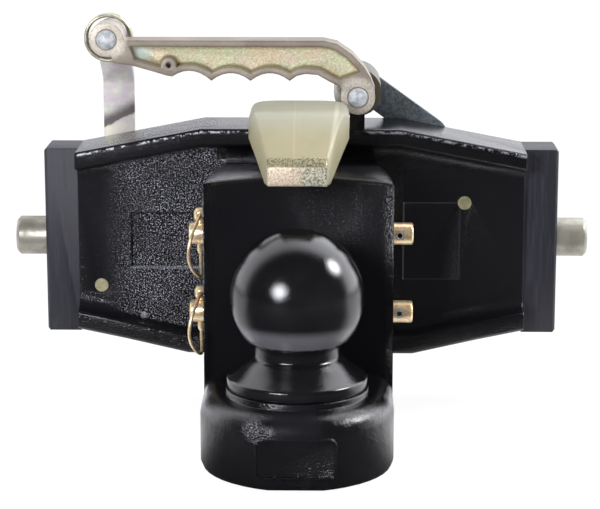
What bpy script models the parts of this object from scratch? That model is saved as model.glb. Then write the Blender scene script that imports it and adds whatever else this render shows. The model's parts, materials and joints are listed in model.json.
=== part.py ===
"""Ball coupling carriage for a tractor's hitch ladder, in metres, +Z up.

The ball's axis is X = Y = 0 and the underside of the casting is Z = 0. X runs across the tractor,
Y towards it. The handle turns two levers, which draw the locking pins out of the ladder's rails.
"""

import math

import bmesh
import bpy
from mathutils import Matrix, Vector

# Clearances
SEAT_GAP = 0.0003  # between two pieces that seat on or fit into each other
SLIDE_GAP = 0.0005  # between a lever and the casting that it sweeps past

# Ball stud
BALL_RADIUS = 0.040
BALL_HEIGHT = 0.104
BALL_FLAT_RADIUS = 0.01075
NECK_TOP_RADIUS = 0.0304
NECK_RADIUS = 0.0256
NECK_HEIGHT = 0.069
NECK_WAIST = 0.0024
CONE_LIP = 0.0017
STUD_EDGE = 0.0011
CONE_TOP_RADIUS = 0.0268
STUD_FLANGE_RADIUS = 0.042
STUD_FLANGE_THICKNESS = 0.0070
SHANK_RADIUS = 0.015
NUT_ACROSS_FLATS = 0.046
NUT_HEIGHT = 0.0150
WASHER_RADIUS = 0.0265
WASHER_THICKNESS = 0.004

# Base of the casting, under the ball
BASE_RADIUS = 0.058
BASE_FRONT = 0.0555
BASE_TOP = 0.045
BASE_REAR = 0.118
SHOULDER_RADIUS = 0.012
FOOT_RADIUS = 0.005
SEAT_RADIUS = 0.0427
SEAT_HEIGHT = 0.004
NUT_POCKET_RADIUS = 0.029
NUT_POCKET_DEPTH = 0.024
PAD_WIDTH = 0.048
PAD_LOW = 0.0078
PAD_HIGH = 0.0324
PAD_DEPTH = 0.0010
PAD_RAISE = 0.0006
PAD_RIM = 0.0016
PAD_CORNER = 0.004

# Wall behind the ball, which carries the hold-down
WALL_TOP = 0.165
WALL_CORNER_Y = 0.038
WALL_HOLLOW = 0.020
WALL_PIN_HALF_WIDTH = 0.055
WALL_REAR_HALF_WIDTH = 0.048
WALL_EDGE = 0.003
WALL_SIDE_REAR = 0.062
WALL_TAPER_REAR = 0.100
WALL_TAPER = 0.0025

# Ladder guides
GUIDE_WIDTH = 0.330
GUIDE_FACE = 0.022
GUIDE_DEPTH = 0.032
GUIDE_HEIGHT = 0.120
GUIDE_LOW = 0.051
GUIDE_FRONT = 0.123
GUIDE_EDGE = 0.0015

# Web and flanges
WEB_FRONT = 0.119
WEB_THICKNESS = 0.007
FLANGE_FRONT = 0.105
UPPER_FLANGE_THICKNESS = 0.011
LOWER_FLANGE_THICKNESS = 0.012
FLANGE_FILLET = 0.009
FLANGE_EDGE = 0.0016
UPPER_CENTRE_HEIGHT = 0.1865
UPPER_END_HEIGHT = 0.171
UPPER_FLAT_HALF_WIDTH = 0.063
LOWER_CENTRE_HEIGHT = 0.0406
LOWER_KNEE_HEIGHT = 0.0500
LOWER_END_HEIGHT = 0.0563
LOWER_FLAT_HALF_WIDTH = 0.072
LOWER_KNEE_HALF_WIDTH = 0.113
RIB_INNER = 0.053
RIB_THICKNESS = 0.006
RIB_SETBACK = 0.001
LABEL_LEFT = -0.109
LABEL_RIGHT = -0.057
LABEL_LOW = 0.094
LABEL_HIGH = 0.130
LABEL_DEPTH = 0.0010
TABLE_LEFT = 0.066
TABLE_RIGHT = 0.102
TABLE_LOW = 0.087
TABLE_HIGH = 0.137
TABLE_DEPTH = 0.0006
DRAIN_X = -0.102
DRAIN_HEIGHT = 0.0627
DRAIN_RADIUS = 0.0022
LUG_LOW_X = 0.031
LUG_WIDTH = 0.0095
LUG_FRONT = 0.106
LUG_DEPTH = 0.0105
LUG_HEIGHT = 0.0100

# Locking pins
LOCKING_PIN_RADIUS = 0.0125
LOCKING_PIN_HEIGHT = 0.111
LOCKING_PIN_REACH = 0.020
LOCKING_PIN_SHOULDER = 0.092
TAIL_RADIUS = 0.007
TAIL_END = 0.042
PIN_CHAMFER = 0.002
PIN_SPRING_WIRE = 0.002
PIN_SPRING_RADIUS = 0.0095
PIN_SPRING_TURNS = 4
DRIVE_STUD_RADIUS = 0.004
DRIVE_STUD_DEPTH = 0.004
DRIVE_STUD_END = 0.0015
FORK_CLEARANCE = 0.0016

# Hold-down and its two cross pins
HOLD_DOWN_HALF_WIDTH = 0.0306
NOSE_HALF_WIDTH = 0.0165
NOSE_FLARE = 0.0030
NOSE_TAPER_START = 0.012
NOSE_TAPER_END = 0.040
CHEEK_INSET = 0.0051
CHEEK_REAR = 0.060
NOSE_FRONT = 0.008
HEAD_CLEARANCE = 0.003
NOSE_HEIGHT = 0.016
NOSE_BEVEL = 0.0045
HEAD_REAR = 0.090
HEAD_HEIGHT = 0.0425
CROWN_FRONT = 0.046
CROWN_TOP_Y = 0.070
CROWN_FALL = 0.0038
CROWN_RADIUS = 0.030
HEAD_EDGE = 0.004
CROWN_DROP = 0.0052
CROWN_CORNER = 0.007
LEG_HALF_WIDTH = 0.015
LEG_DEPTH = 0.027
CROSS_PIN_Y = 0.080
LOCK_PIN_HEIGHT = 0.125
CROSS_PIN_SPACING = 0.050
CROSS_PIN_RADIUS = 0.007
CROSS_PIN_EDGE = 0.001
CROSS_PIN_LEFT = -0.0690
CROSS_PIN_RIGHT = 0.071
ROLL_PIN_X = 0.0625
ROLL_PIN_RADIUS = 0.0025
ROLL_PIN_LENGTH = 0.022
ROLL_PIN_WALL = 0.0008
LINCH_X = -0.062
LINCH_RADIUS = 0.0023
LINCH_HEAD_RADIUS = 0.0042
LINCH_HEAD_OFFSET = 0.0116
LINCH_STEM_BELOW = 0.0135
RING_RADIUS = 0.020
RING_WIRE = 0.0011
RING_BULGE = 0.0062
RING_REAR_BULGE = 0.0015

# Levers and their pivots: places along X, and heights over the locking pins or the casting's top
LEVER_PIVOT_RADIUS = 0.0045
PIVOT_BOSS_RADIUS = 0.008
LEVER_THICKNESS = 0.005
LEFT_PIVOT_X = -0.129
LEFT_PIVOT_DROP = 0.029
RIGHT_PIVOT_X = 0.105
RIGHT_PIVOT_RISE = 0.026
LEFT_GRIP_X = -0.1206
LEFT_GRIP_RISE = 0.0577
RIGHT_GRIP_X = 0.0361
REST_GAP = 0.0011
LEFT_STRIP_X = -0.1194
LEFT_STRIP_WIDTH = 0.020
LEFT_EYE_RADIUS = 0.0125
LEFT_DRIVE_ARM = 0.0375
LEFT_DRIVE_TRAVEL = 0.005
JOGGLE_INNER_RADIUS = 0.007
LEFT_SHOULDER_RISE = 0.006
LEFT_TAPER_RISE = 0.030
JOGGLE_LOW = 0.0255
JOGGLE_HIGH = 0.0435
UPPER_EYE_FRONT = 0.131
RIGHT_EYE_RADIUS = 0.013
RIGHT_ARM_HALF_WIDTH = 0.00975
ARM_START_X = 0.0440
ARM_START_RISE = 0.0191
ELBOW_X = 0.0845
ELBOW_DROP = 0.0105
RIGHT_DRIVE_ARM = 0.026
RIGHT_DRIVE_LOBE = 0.009
DRIVE_SLOT_WIDTH = 0.0116
HUB_RADIUS = 0.0151
HUB_BORE_RADIUS = 0.0103
HUB_FRONT = 0.1177
FORK_PRONG = 0.004
FORK_RISE = 0.015
FORK_DROP = 0.012

# Small fittings on the pivots
PLATE_WASHER_THICKNESS = 0.0012
PLATE_WASHER_RADIUS = 0.009
HUB_WASHER_RADIUS = 0.014
CLIP_THICKNESS = 0.001
CLIP_RADIUS = 0.0072
CLIP_GROOVE = 0.0008
PIN_END = 0.0015

# Handle
HANDLE_FRONT = 0.095
HANDLE_THICKNESS = 0.020
HANDLE_RIM = 0.0038
HANDLE_POCKET_DEPTH = 0.0075
HANDLE_RISE = 0.0573
GRIP_BOSS_RADIUS = 0.0108
GRIP_DEPTH = 0.0250
GRIP_RIDGE_START = -0.0797
GRIP_RIDGE_PITCH = 0.0244
GRIP_SCALLOP = 0.0048
GRIP_SCALLOP_COUNT = 3
HANDLE_PIN_RADIUS = 0.004
HANDLE_PIN_HEAD_RADIUS = 0.0062
HANDLE_PIN_HEAD_HEIGHT = 0.0030
SPRING_BOSS_X = -0.0820
SPRING_BOSS_DROP = 0.0155
SPRING_BOSS_RADIUS = 0.0049
SPRING_HOLE_RADIUS = 0.0016
HANDLE_BUSH_RADIUS = 0.0095
COIL_WIRE = 0.0011
COIL_RADIUS = 0.0143
COIL_SHIFT = -0.0012
COIL_SAG = 0.0015
COIL_START_ANGLE = -80
HOOK_DROP = 0.010
HOOK_BEND = 0.002
COIL_TURNS = 3

# The handle's outline as (X, depth under its top), left of the grips and right of them
FIRST_RIDGE_RISE = 0.0026
HANDLE_LEFT_EDGE = ((-0.1165, 0.0139), (-0.1045, 0.0157), (-0.0903, 0.0197), (-0.0830, 0.0219))
HANDLE_UNDERSIDE = (
    (-0.0021, 0.0219), (0.0032, 0.0206), (0.0111, 0.0213), (0.0181, 0.0253), (0.0225, 0.0275),
    (0.0262, 0.0300),
)
HANDLE_RIGHT_EDGE = (
    (0.0300, 0.0360), (0.0430, 0.0360), (0.0466, 0.0300), (0.0440, 0.0233), (0.0402, 0.0168),
    (0.0323, 0.0082),
    (0.0229, 0.0019), (0.0145, 0.0),
)
HANDLE_TOP_LEFT = -0.1060

ROUND_STEPS = 28
SMALL_STEPS = 16
BASE_STEPS = 9
HOLE_STEPS = 10
BORE_STEPS = 18
PIN_STEPS = 18

# How far a form reaches into the one it joins, and a cutter past the one it cuts
JOIN = 0.002
PAST = 0.010
FINE_ANGLE = math.radians(32)

# Sizes that follow from those above
guide_half = GUIDE_WIDTH / 2
guide_inner = guide_half - GUIDE_FACE
guide_rear = GUIDE_FRONT + GUIDE_DEPTH
guide_top = GUIDE_LOW + GUIDE_HEIGHT
pin_depth = GUIDE_FRONT + GUIDE_DEPTH / 2
web_rear = WEB_FRONT + WEB_THICKNESS
lever_front = guide_rear + SLIDE_GAP
lever_rear = lever_front + LEVER_THICKNESS
handle_rear = HANDLE_FRONT + HANDLE_THICKNESS
upper_eye_rear = UPPER_EYE_FRONT + LEVER_THICKNESS
pin_outer = guide_half + LOCKING_PIN_REACH
stud_seat = BASE_TOP + SEAT_HEIGHT + SEAT_GAP
nose_low = WALL_TOP + HEAD_CLEARANCE
nose_high = nose_low + NOSE_HEIGHT
crown_height = nose_low + HEAD_HEIGHT
left_pivot = (LEFT_PIVOT_X, LOCKING_PIN_HEIGHT - LEFT_PIVOT_DROP)
right_pivot = (RIGHT_PIVOT_X, LOCKING_PIN_HEIGHT + RIGHT_PIVOT_RISE)
left_grip = (LEFT_GRIP_X, UPPER_CENTRE_HEIGHT + LEFT_GRIP_RISE)
right_grip = (RIGHT_GRIP_X, UPPER_CENTRE_HEIGHT + LUG_HEIGHT + REST_GAP + GRIP_BOSS_RADIUS)
arm_start = (ARM_START_X, UPPER_CENTRE_HEIGHT + ARM_START_RISE)
elbow = (ELBOW_X, UPPER_CENTRE_HEIGHT - ELBOW_DROP)
joggle_low = UPPER_CENTRE_HEIGHT + JOGGLE_LOW
joggle_high = UPPER_CENTRE_HEIGHT + JOGGLE_HIGH
handle_top = UPPER_CENTRE_HEIGHT + HANDLE_RISE
ridge_height = handle_top - GRIP_DEPTH
spring_boss = (SPRING_BOSS_X, handle_top - SPRING_BOSS_DROP)
pivot_pin_height = LOCK_PIN_HEIGHT - CROSS_PIN_SPACING
leg_front = CROSS_PIN_Y - LEG_DEPTH / 2
leg_rear = CROSS_PIN_Y + LEG_DEPTH / 2
pin_flat = pin_depth + LOCKING_PIN_RADIUS - 0.0038
upper_path = (
    (-guide_inner - SEAT_GAP, UPPER_END_HEIGHT),
    (-UPPER_FLAT_HALF_WIDTH, UPPER_CENTRE_HEIGHT),
    (UPPER_FLAT_HALF_WIDTH, UPPER_CENTRE_HEIGHT),
    (guide_inner + SEAT_GAP, UPPER_END_HEIGHT),
)
lower_path = (
    (-guide_inner - SEAT_GAP, LOWER_END_HEIGHT),
    (-LOWER_KNEE_HALF_WIDTH, LOWER_KNEE_HEIGHT),
    (-LOWER_FLAT_HALF_WIDTH, LOWER_CENTRE_HEIGHT),
    (LOWER_FLAT_HALF_WIDTH, LOWER_CENTRE_HEIGHT),
    (LOWER_KNEE_HALF_WIDTH, LOWER_KNEE_HEIGHT),
    (guide_inner + SEAT_GAP, LOWER_END_HEIGHT),
)


def finish(name, colour, roughness, metallic):
    """A plain shader in the piece's own colour."""
    material = bpy.data.materials.new(name)
    material.use_nodes = True
    shader = material.node_tree.nodes["Principled BSDF"]
    shader.inputs["Base Color"].default_value = (*colour, 1)
    shader.inputs["Roughness"].default_value = roughness
    shader.inputs["Metallic"].default_value = metallic
    material.diffuse_color = (*colour, 1)
    return material


def add_object(name, shape, material=None):
    """Make a bmesh an object in the scene, with its faces pointing out."""
    bmesh.ops.remove_doubles(shape, verts=shape.verts, dist=1e-6)
    bmesh.ops.recalc_face_normals(shape, faces=shape.faces)
    mesh = bpy.data.meshes.new(name)
    shape.to_mesh(mesh)
    shape.free()
    mesh.shade_smooth()
    mesh.set_sharp_from_angle(angle=FINE_ANGLE)
    if material:
        mesh.materials.append(material)
    made = bpy.data.objects.new(name, mesh)
    bpy.context.scene.collection.objects.link(made)
    return made


def combine(body, tool, operation):
    """Cut, join or intersect the body with a tool, which stays out of renders."""
    tool.hide_render = True
    tool.display_type = "WIRE"
    step = body.modifiers.new(tool.name, "BOOLEAN")
    step.operation = operation
    step.object = tool
    step.solver = "EXACT"


def arc(centre, radius, start, end, steps):
    """Points along an arc, its angles in degrees."""
    turns = [math.radians(start + (end - start) * i / steps) for i in range(steps + 1)]
    return [(centre[0] + radius * math.cos(t), centre[1] + radius * math.sin(t)) for t in turns]


def heading(step):
    return math.atan2(step.y, step.x)


def rounded(corners, steps=4):
    """An outline whose corners, given as x, y and radius, are rounded."""
    outline = []
    for i, (x, y, radius) in enumerate(corners):
        here = Vector((x, y))
        if radius <= 0:
            outline.append((x, y))
            continue
        back = (Vector(corners[i - 1][:2]) - here).normalized()
        ahead = (Vector(corners[(i + 1) % len(corners)][:2]) - here).normalized()
        half = math.acos(max(-1, min(1, back.dot(ahead)))) / 2
        reach = radius / math.tan(half)
        first = here + back * reach
        last = here + ahead * reach
        middle = here + (back + ahead).normalized() * radius / math.sin(half)
        start = heading(first - middle)
        sweep = heading(last - middle) - start
        sweep = (sweep + math.pi) % (2 * math.pi) - math.pi
        for k in range(steps + 1):
            turn = start + sweep * k / steps
            outline.append((middle.x + radius * math.cos(turn), middle.y + radius * math.sin(turn)))
    return outline


def inset(outline, distance):
    """The outline, counter-clockwise, moved inwards by one wall."""
    moved = []
    for i, point in enumerate(outline):
        here = Vector(point)
        before = (here - Vector(outline[i - 1])).normalized()
        after = (Vector(outline[(i + 1) % len(outline)]) - here).normalized()
        normal = Vector((-before.y - after.y, before.x + after.x)).normalized()
        lean = max(0.6, normal.dot(Vector((-before.y, before.x))))
        moved.append(tuple(here + normal * distance / lean))
    return moved


def link_outline(first, first_radius, second, second_radius, steps=10):
    """Two round ends joined by straight sides, seen flat."""
    gap = Vector(second) - Vector(first)
    way = math.degrees(heading(gap))
    lean = math.degrees(math.acos((first_radius - second_radius) / gap.length))
    far = arc(second, second_radius, way - lean, way + lean, steps)
    near = arc(first, first_radius, way + lean, way - lean + 360, steps)
    return far + near


def prism(outline, low, high, across):
    """An outline given thickness along one axis: the outline's own pair is the other two in order."""
    order = {"x": (2, 0, 1), "y": (0, 2, 1), "z": (0, 1, 2)}[across]
    shape = bmesh.new()
    corners = []
    for u, v in outline:
        values = (u, v, low)
        corners.append(shape.verts.new([values[k] for k in order]))
    face = shape.faces.new(corners)
    grown = bmesh.ops.extrude_face_region(shape, geom=[face])
    step = Vector([(0, 0, high - low)[k] for k in order])
    fresh = [item for item in grown["geom"] if isinstance(item, bmesh.types.BMVert)]
    bmesh.ops.translate(shape, verts=fresh, vec=step)
    bmesh.ops.recalc_face_normals(shape, faces=shape.faces)
    return shape


def soften(shape, width, steps, chosen):
    """Bevel the edges that the test picks."""
    edges = [edge for edge in shape.edges if chosen(edge)]
    bmesh.ops.bevel(
        shape, geom=edges, offset=width, segments=steps, affect="EDGES", profile=0.5, material=-1
    )


def swept(section, path):
    """A section in Y and Z carried along a path of X and Z."""
    shape = bmesh.new()
    rows = []
    for x, rise in path:
        rows.append([shape.verts.new((x, y, z + rise)) for y, z in section])
    for here, there in zip(rows, rows[1:]):
        for i in range(len(section)):
            j = (i + 1) % len(section)
            shape.faces.new((here[i], here[j], there[j], there[i]))
    shape.faces.new(rows[0])
    shape.faces.new(list(reversed(rows[-1])))
    return shape


def turned(profile, closed=False, steps=ROUND_STEPS):
    """A profile of radius and height spun about Z."""
    shape = bmesh.new()
    points = [shape.verts.new((radius, 0, height)) for radius, height in profile]
    pairs = list(zip(points, points[1:]))
    if closed:
        pairs.append((points[-1], points[0]))
    edges = [shape.edges.new(pair) for pair in pairs]
    bmesh.ops.spin(
        shape, geom=points + edges, cent=(0, 0, 0), axis=(0, 0, 1), dvec=(0, 0, 0),
        angle=2 * math.pi, steps=steps, use_merge=True, use_duplicate=False,
    )
    bmesh.ops.remove_doubles(shape, verts=shape.verts, dist=1e-6)
    bmesh.ops.recalc_face_normals(shape, faces=shape.faces)
    return shape


def aimed(shape, place, along):
    """Turn a shape made about Z so that its Z runs along an axis, then move it to its place."""
    turn = {
        "x": Matrix.Rotation(math.pi / 2, 4, "Y"),
        "-x": Matrix.Rotation(-math.pi / 2, 4, "Y"),
        "y": Matrix.Rotation(-math.pi / 2, 4, "X"),
        "z": Matrix.Identity(4),
    }[along]
    shape.transform(Matrix.Translation(place) @ turn)
    return shape


def bar(radius, place, along, length, steps=ROUND_STEPS):
    """A plain round bar that starts at its place."""
    return aimed(turned([(0, 0), (radius, 0), (radius, length), (0, length)], steps=steps), place, along)


def hollow_bar(bore, radius, place, along, length, steps=SMALL_STEPS):
    profile = [(bore, 0), (radius, 0), (radius, length), (bore, length)]
    return aimed(turned(profile, closed=True, steps=steps), place, along)


def bore(body, name, radius, place, along, length, steps=ROUND_STEPS):
    combine(body, add_object(name, bar(radius, place, along, length, steps)), "DIFFERENCE")


def wire(name, points, radius, material, sides=1):
    """A round wire along its points, with flat ends."""
    curve = bpy.data.curves.new(name, "CURVE")
    curve.dimensions = "3D"
    curve.bevel_depth = radius
    curve.bevel_resolution = sides
    curve.use_fill_caps = True
    spline = curve.splines.new("POLY")
    spline.points.add(len(points) - 1)
    for target, point in zip(spline.points, points):
        target.co = (*point, 1)
    curve.materials.append(material)
    made = bpy.data.objects.new(name, curve)
    bpy.context.scene.collection.objects.link(made)
    return made


def joint_axis(name, x, y, z):
    """An empty on a joint's axis, which carries the pieces that move about it."""
    axis = bpy.data.objects.new(name, None)
    axis.empty_display_size = 0.02
    axis.location = (x, y, z)
    bpy.context.scene.collection.objects.link(axis)
    return axis


def carry(axis, *pieces):
    for piece in pieces:
        piece.parent = axis
        piece.location = -axis.location


def flange_section(thickness, hangs):
    """A flange's section, with the hollow curve that runs from its lip into the web."""
    side = -1 if hangs else 1
    lip = [
        (FLANGE_FRONT + FLANGE_EDGE, 0),
        (guide_rear, 0),
        (guide_rear, side * thickness),
        (web_rear, side * thickness),
    ]
    hollow = []
    for t in (math.pi / 2 * k / 5 for k in range(6)):
        drop = thickness + FLANGE_FILLET * (1 - math.sin(t))
        hollow.append((WEB_FRONT - FLANGE_FILLET * (1 - math.cos(t)), side * drop))
    front = [
        (FLANGE_FRONT + FLANGE_EDGE, side * thickness),
        (FLANGE_FRONT, side * (thickness - FLANGE_EDGE)),
        (FLANGE_FRONT, side * FLANGE_EDGE),
    ]
    return lip + [(web_rear, side * (thickness + FLANGE_FILLET))] + hollow + front


def wall_outline():
    """The wall in plan: hollow in front, with its cheeks drawn in towards the web."""
    sweep = (BASE_RADIUS ** 2 + WALL_HOLLOW ** 2) / (2 * WALL_HOLLOW)
    centre = (0, WALL_CORNER_Y + WALL_HOLLOW - sweep)
    reach = math.degrees(math.asin(BASE_RADIUS / sweep))
    front = arc(centre, sweep, 90 + reach, 90 - reach, 10)
    right = [
        (WALL_PIN_HALF_WIDTH + JOIN, WALL_SIDE_REAR),
        (WALL_PIN_HALF_WIDTH, CROSS_PIN_Y),
        (WALL_REAR_HALF_WIDTH + WALL_TAPER, WALL_TAPER_REAR),
        (WALL_REAR_HALF_WIDTH, WEB_FRONT + JOIN),
    ]
    left = [(-x, y) for x, y in reversed(right)]
    return front + right + left


def base_outline():
    """The base in plan: round about the ball's axis, with its front cut flat."""
    edge = math.degrees(math.asin(BASE_FRONT / BASE_RADIUS))
    left = arc((0, 0), BASE_RADIUS, 180, 180 + edge, BASE_STEPS)
    right = arc((0, 0), BASE_RADIUS, -edge, 0, BASE_STEPS)
    return left + right + [(BASE_RADIUS, BASE_REAR), (-BASE_RADIUS, BASE_REAR)]


def make_base():
    shape = prism(base_outline(), 0, BASE_TOP, "z")

    def on_top(edge):
        return all(v.co.z > BASE_TOP - 1e-5 for v in edge.verts) and min(v.co.y for v in edge.verts) < 0.1

    def on_foot(edge):
        return all(v.co.z < 1e-5 for v in edge.verts) and min(v.co.y for v in edge.verts) < 0.1

    soften(shape, SHOULDER_RADIUS, 4, on_top)
    soften(shape, FOOT_RADIUS, 2, on_foot)
    return shape


def make_web():
    upper = [(x, z - UPPER_FLANGE_THICKNESS / 2) for x, z in upper_path]
    lower = [(x, z + LOWER_FLANGE_THICKNESS / 2) for x, z in lower_path]
    return prism(lower + list(reversed(upper)), WEB_FRONT, web_rear, "y")


def make_guide(side):
    """One machined guide, which runs in the ladder's rail."""
    near, far = sorted((side * guide_inner, side * guide_half))
    outline = rounded(
        [(near, GUIDE_FRONT, 0), (far, GUIDE_FRONT, 0), (far, guide_rear, 0), (near, guide_rear, 0)]
    )
    shape = prism(outline, GUIDE_LOW, guide_top, "z")
    soften(shape, GUIDE_EDGE, 1, lambda edge: all(abs(v.co.x) > guide_half - 1e-5 for v in edge.verts))
    return shape


def make_rib(side):
    low, high = sorted((side * RIB_INNER, side * (RIB_INNER + RIB_THICKNESS)))
    outline = [
        (web_rear - JOIN, LOWER_CENTRE_HEIGHT + LOWER_FLANGE_THICKNESS / 2),
        (guide_rear - RIB_SETBACK, LOWER_CENTRE_HEIGHT + LOWER_FLANGE_THICKNESS / 2),
        (guide_rear - RIB_SETBACK, UPPER_CENTRE_HEIGHT - UPPER_FLANGE_THICKNESS / 2),
        (web_rear - JOIN, UPPER_CENTRE_HEIGHT - UPPER_FLANGE_THICKNESS / 2),
    ]
    return prism(outline, low, high, "x")


def make_casting(material):
    """The one casting: base, wall, web, flanges, guides, ribs and pivot bosses."""
    casting = add_object("carrier_casting", make_base(), material)
    wall = prism(wall_outline(), FOOT_RADIUS + JOIN, WALL_TOP, "z")
    soften(wall, WALL_EDGE, 2, lambda edge: all(v.co.z > WALL_TOP - 1e-5 for v in edge.verts))
    combine(casting, add_object("wall_form", wall), "UNION")
    combine(casting, add_object("web_form", make_web()), "UNION")
    upper = swept(flange_section(UPPER_FLANGE_THICKNESS, True), upper_path)
    lower = swept(flange_section(LOWER_FLANGE_THICKNESS, False), lower_path)
    combine(casting, add_object("upper_flange_form", upper), "UNION")
    combine(casting, add_object("lower_flange_form", lower), "UNION")
    for name, side in (("left", -1), ("right", 1)):
        combine(casting, add_object(name + "_guide_form", make_guide(side)), "UNION")
        combine(casting, add_object(name + "_rib_form", make_rib(side)), "UNION")
    boss_length = guide_rear - SLIDE_GAP - web_rear + JOIN
    for name, (x, z) in (("left", left_pivot), ("right", right_pivot)):
        boss = bar(PIVOT_BOSS_RADIUS, (x, web_rear - JOIN, z), "y", boss_length, SMALL_STEPS)
        combine(casting, add_object(name + "_boss_form", boss), "UNION")
    seat = bar(SEAT_RADIUS, (0, 0, BASE_TOP - JOIN), "z", SEAT_HEIGHT + JOIN)
    combine(casting, add_object("seat_form", seat), "UNION")
    lug_outline = [
        (LUG_LOW_X, LUG_FRONT),
        (LUG_LOW_X + LUG_WIDTH, LUG_FRONT),
        (LUG_LOW_X + LUG_WIDTH, LUG_FRONT + LUG_DEPTH),
        (LUG_LOW_X, LUG_FRONT + LUG_DEPTH),
    ]
    lug = prism(lug_outline, UPPER_CENTRE_HEIGHT - 2 * JOIN, UPPER_CENTRE_HEIGHT + LUG_HEIGHT, "z")
    combine(casting, add_object("lug_form", lug), "UNION")
    pad = prism(pad_outline(0), -BASE_FRONT - PAD_RAISE, -BASE_FRONT + SHOULDER_RADIUS, "y")
    combine(casting, add_object("front_pad_form", pad), "UNION")
    cut_casting(casting)
    return casting


def pad_outline(margin):
    half = PAD_WIDTH / 2 - margin
    low = PAD_LOW + margin
    high = PAD_HIGH - margin
    corner = PAD_CORNER - margin
    return rounded([(-half, low, corner), (half, low, corner), (half, high, corner), (-half, high, corner)])


def sink(casting, name, left, right, low, high, depth):
    """A shallow bare panel sunk in the web's front."""
    outline = [(left, low), (right, low), (right, high), (left, high)]
    panel = prism(outline, WEB_FRONT - JOIN, WEB_FRONT + depth, "y")
    combine(casting, add_object(name, panel), "DIFFERENCE")


def cut_casting(casting):
    """Bores for the pins, the leg's pocket and the ball's seat."""
    pocket_half = LEG_HALF_WIDTH + SEAT_GAP
    pocket = [
        (leg_front - SEAT_GAP, pivot_pin_height - LEG_DEPTH / 2 - SEAT_GAP),
        (leg_rear + SEAT_GAP, pivot_pin_height - LEG_DEPTH / 2 - SEAT_GAP),
        (leg_rear + SEAT_GAP, WALL_TOP + PAST),
        (leg_front - SEAT_GAP, WALL_TOP + PAST),
    ]
    combine(casting, add_object("leg_pocket", prism(pocket, -pocket_half, pocket_half, "x")), "DIFFERENCE")
    for name, height in (("lock", LOCK_PIN_HEIGHT), ("pivot", pivot_pin_height)):
        place = (-BASE_RADIUS - PAST, CROSS_PIN_Y, height)
        bore(casting, name + "_pin_bore", CROSS_PIN_RADIUS + SEAT_GAP, place, "x", 2 * (BASE_RADIUS + PAST))
    for name, side in (("left", -1), ("right", 1)):
        place = (side * (guide_inner - PAST / 2), pin_depth, LOCKING_PIN_HEIGHT)
        along = "x" if side > 0 else "-x"
        bore(casting, name + "_guide_bore", LOCKING_PIN_RADIUS + SEAT_GAP, place, along, GUIDE_FACE + PAST)
        place = (side * (RIB_INNER - PAST / 2), pin_depth, LOCKING_PIN_HEIGHT)
        bore(casting, name + "_rib_bore", TAIL_RADIUS + SEAT_GAP, place, along, RIB_THICKNESS + PAST)
    for name, (x, z) in (("left", left_pivot), ("right", right_pivot)):
        place = (x, WEB_FRONT - PAST, z)
        depth = guide_rear - WEB_FRONT + 2 * PAST
        bore(casting, name + "_pivot_bore", LEVER_PIVOT_RADIUS + SEAT_GAP, place, "y", depth, SMALL_STEPS)
    bore(casting, "shank_bore", SHANK_RADIUS + SEAT_GAP, (0, 0, -PAST), "z", BASE_TOP + 3 * PAST)
    bore(casting, "nut_pocket", NUT_POCKET_RADIUS, (0, 0, -PAST), "z", NUT_POCKET_DEPTH + PAST)
    sunk = prism(pad_outline(PAD_RIM), -BASE_FRONT - PAST, -BASE_FRONT - PAD_RAISE + PAD_DEPTH, "y")
    combine(casting, add_object("front_pad_panel", sunk), "DIFFERENCE")
    sink(casting, "label_panel", LABEL_LEFT, LABEL_RIGHT, LABEL_LOW, LABEL_HIGH, LABEL_DEPTH)
    sink(casting, "table_panel", TABLE_LEFT, TABLE_RIGHT, TABLE_LOW, TABLE_HIGH, TABLE_DEPTH)
    place = (DRAIN_X, FLANGE_FRONT, DRAIN_HEIGHT)
    bore(casting, "drain_hole", DRAIN_RADIUS, place, "y", web_rear - FLANGE_FRONT + PAST, HOLE_STEPS)


def make_ball_stud(steel, nut_finish):
    """Ball, waisted neck, cone and flange on a shank that the nut draws down."""
    ball_start = math.degrees(math.asin(BALL_FLAT_RADIUS / BALL_RADIUS))
    ball_end = 180 - math.degrees(math.asin(NECK_TOP_RADIUS / BALL_RADIUS))
    ball = [
        (BALL_RADIUS * math.sin(math.radians(t)), BALL_HEIGHT + BALL_RADIUS * math.cos(math.radians(t)))
        for t in (ball_start + (ball_end - ball_start) * k / 13 for k in range(14))
    ]
    neck_top = ball[-1][1]
    flange_top = stud_seat + STUD_FLANGE_THICKNESS
    neck = [
        (NECK_TOP_RADIUS - NECK_WAIST, neck_top - NECK_WAIST),
        (NECK_RADIUS + NECK_WAIST * 0.4, (neck_top + NECK_HEIGHT) / 2),
        (NECK_RADIUS, NECK_HEIGHT),
        (CONE_TOP_RADIUS, NECK_HEIGHT - CONE_LIP),
        (STUD_FLANGE_RADIUS - STUD_EDGE, flange_top),
        (STUD_FLANGE_RADIUS, flange_top - STUD_EDGE),
        (STUD_FLANGE_RADIUS, stud_seat + STUD_EDGE),
        (STUD_FLANGE_RADIUS - STUD_EDGE, stud_seat),
        (SHANK_RADIUS, stud_seat),
        (SHANK_RADIUS, 0),
        (0, 0),
    ]
    profile = [(0, ball[0][1])] + ball + neck
    add_object("ball_stud", turned(profile, steps=40), steel)
    washer_top = NUT_POCKET_DEPTH - SEAT_GAP
    washer_low = washer_top - WASHER_THICKNESS
    washer = hollow_bar(
        SHANK_RADIUS + SEAT_GAP, WASHER_RADIUS, (0, 0, washer_low), "z", WASHER_THICKNESS, ROUND_STEPS
    )
    add_object("stud_washer", washer, nut_finish)
    nut_top = washer_low - SEAT_GAP
    hexagon = arc((0, 0), NUT_ACROSS_FLATS / math.sqrt(3), 0, 300, 5)
    nut = add_object("stud_nut", prism(hexagon, nut_top - NUT_HEIGHT, nut_top, "z"), nut_finish)
    bore(nut, "nut_bore", SHANK_RADIUS + SEAT_GAP, (0, 0, -PAST), "z", BASE_TOP)


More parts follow.
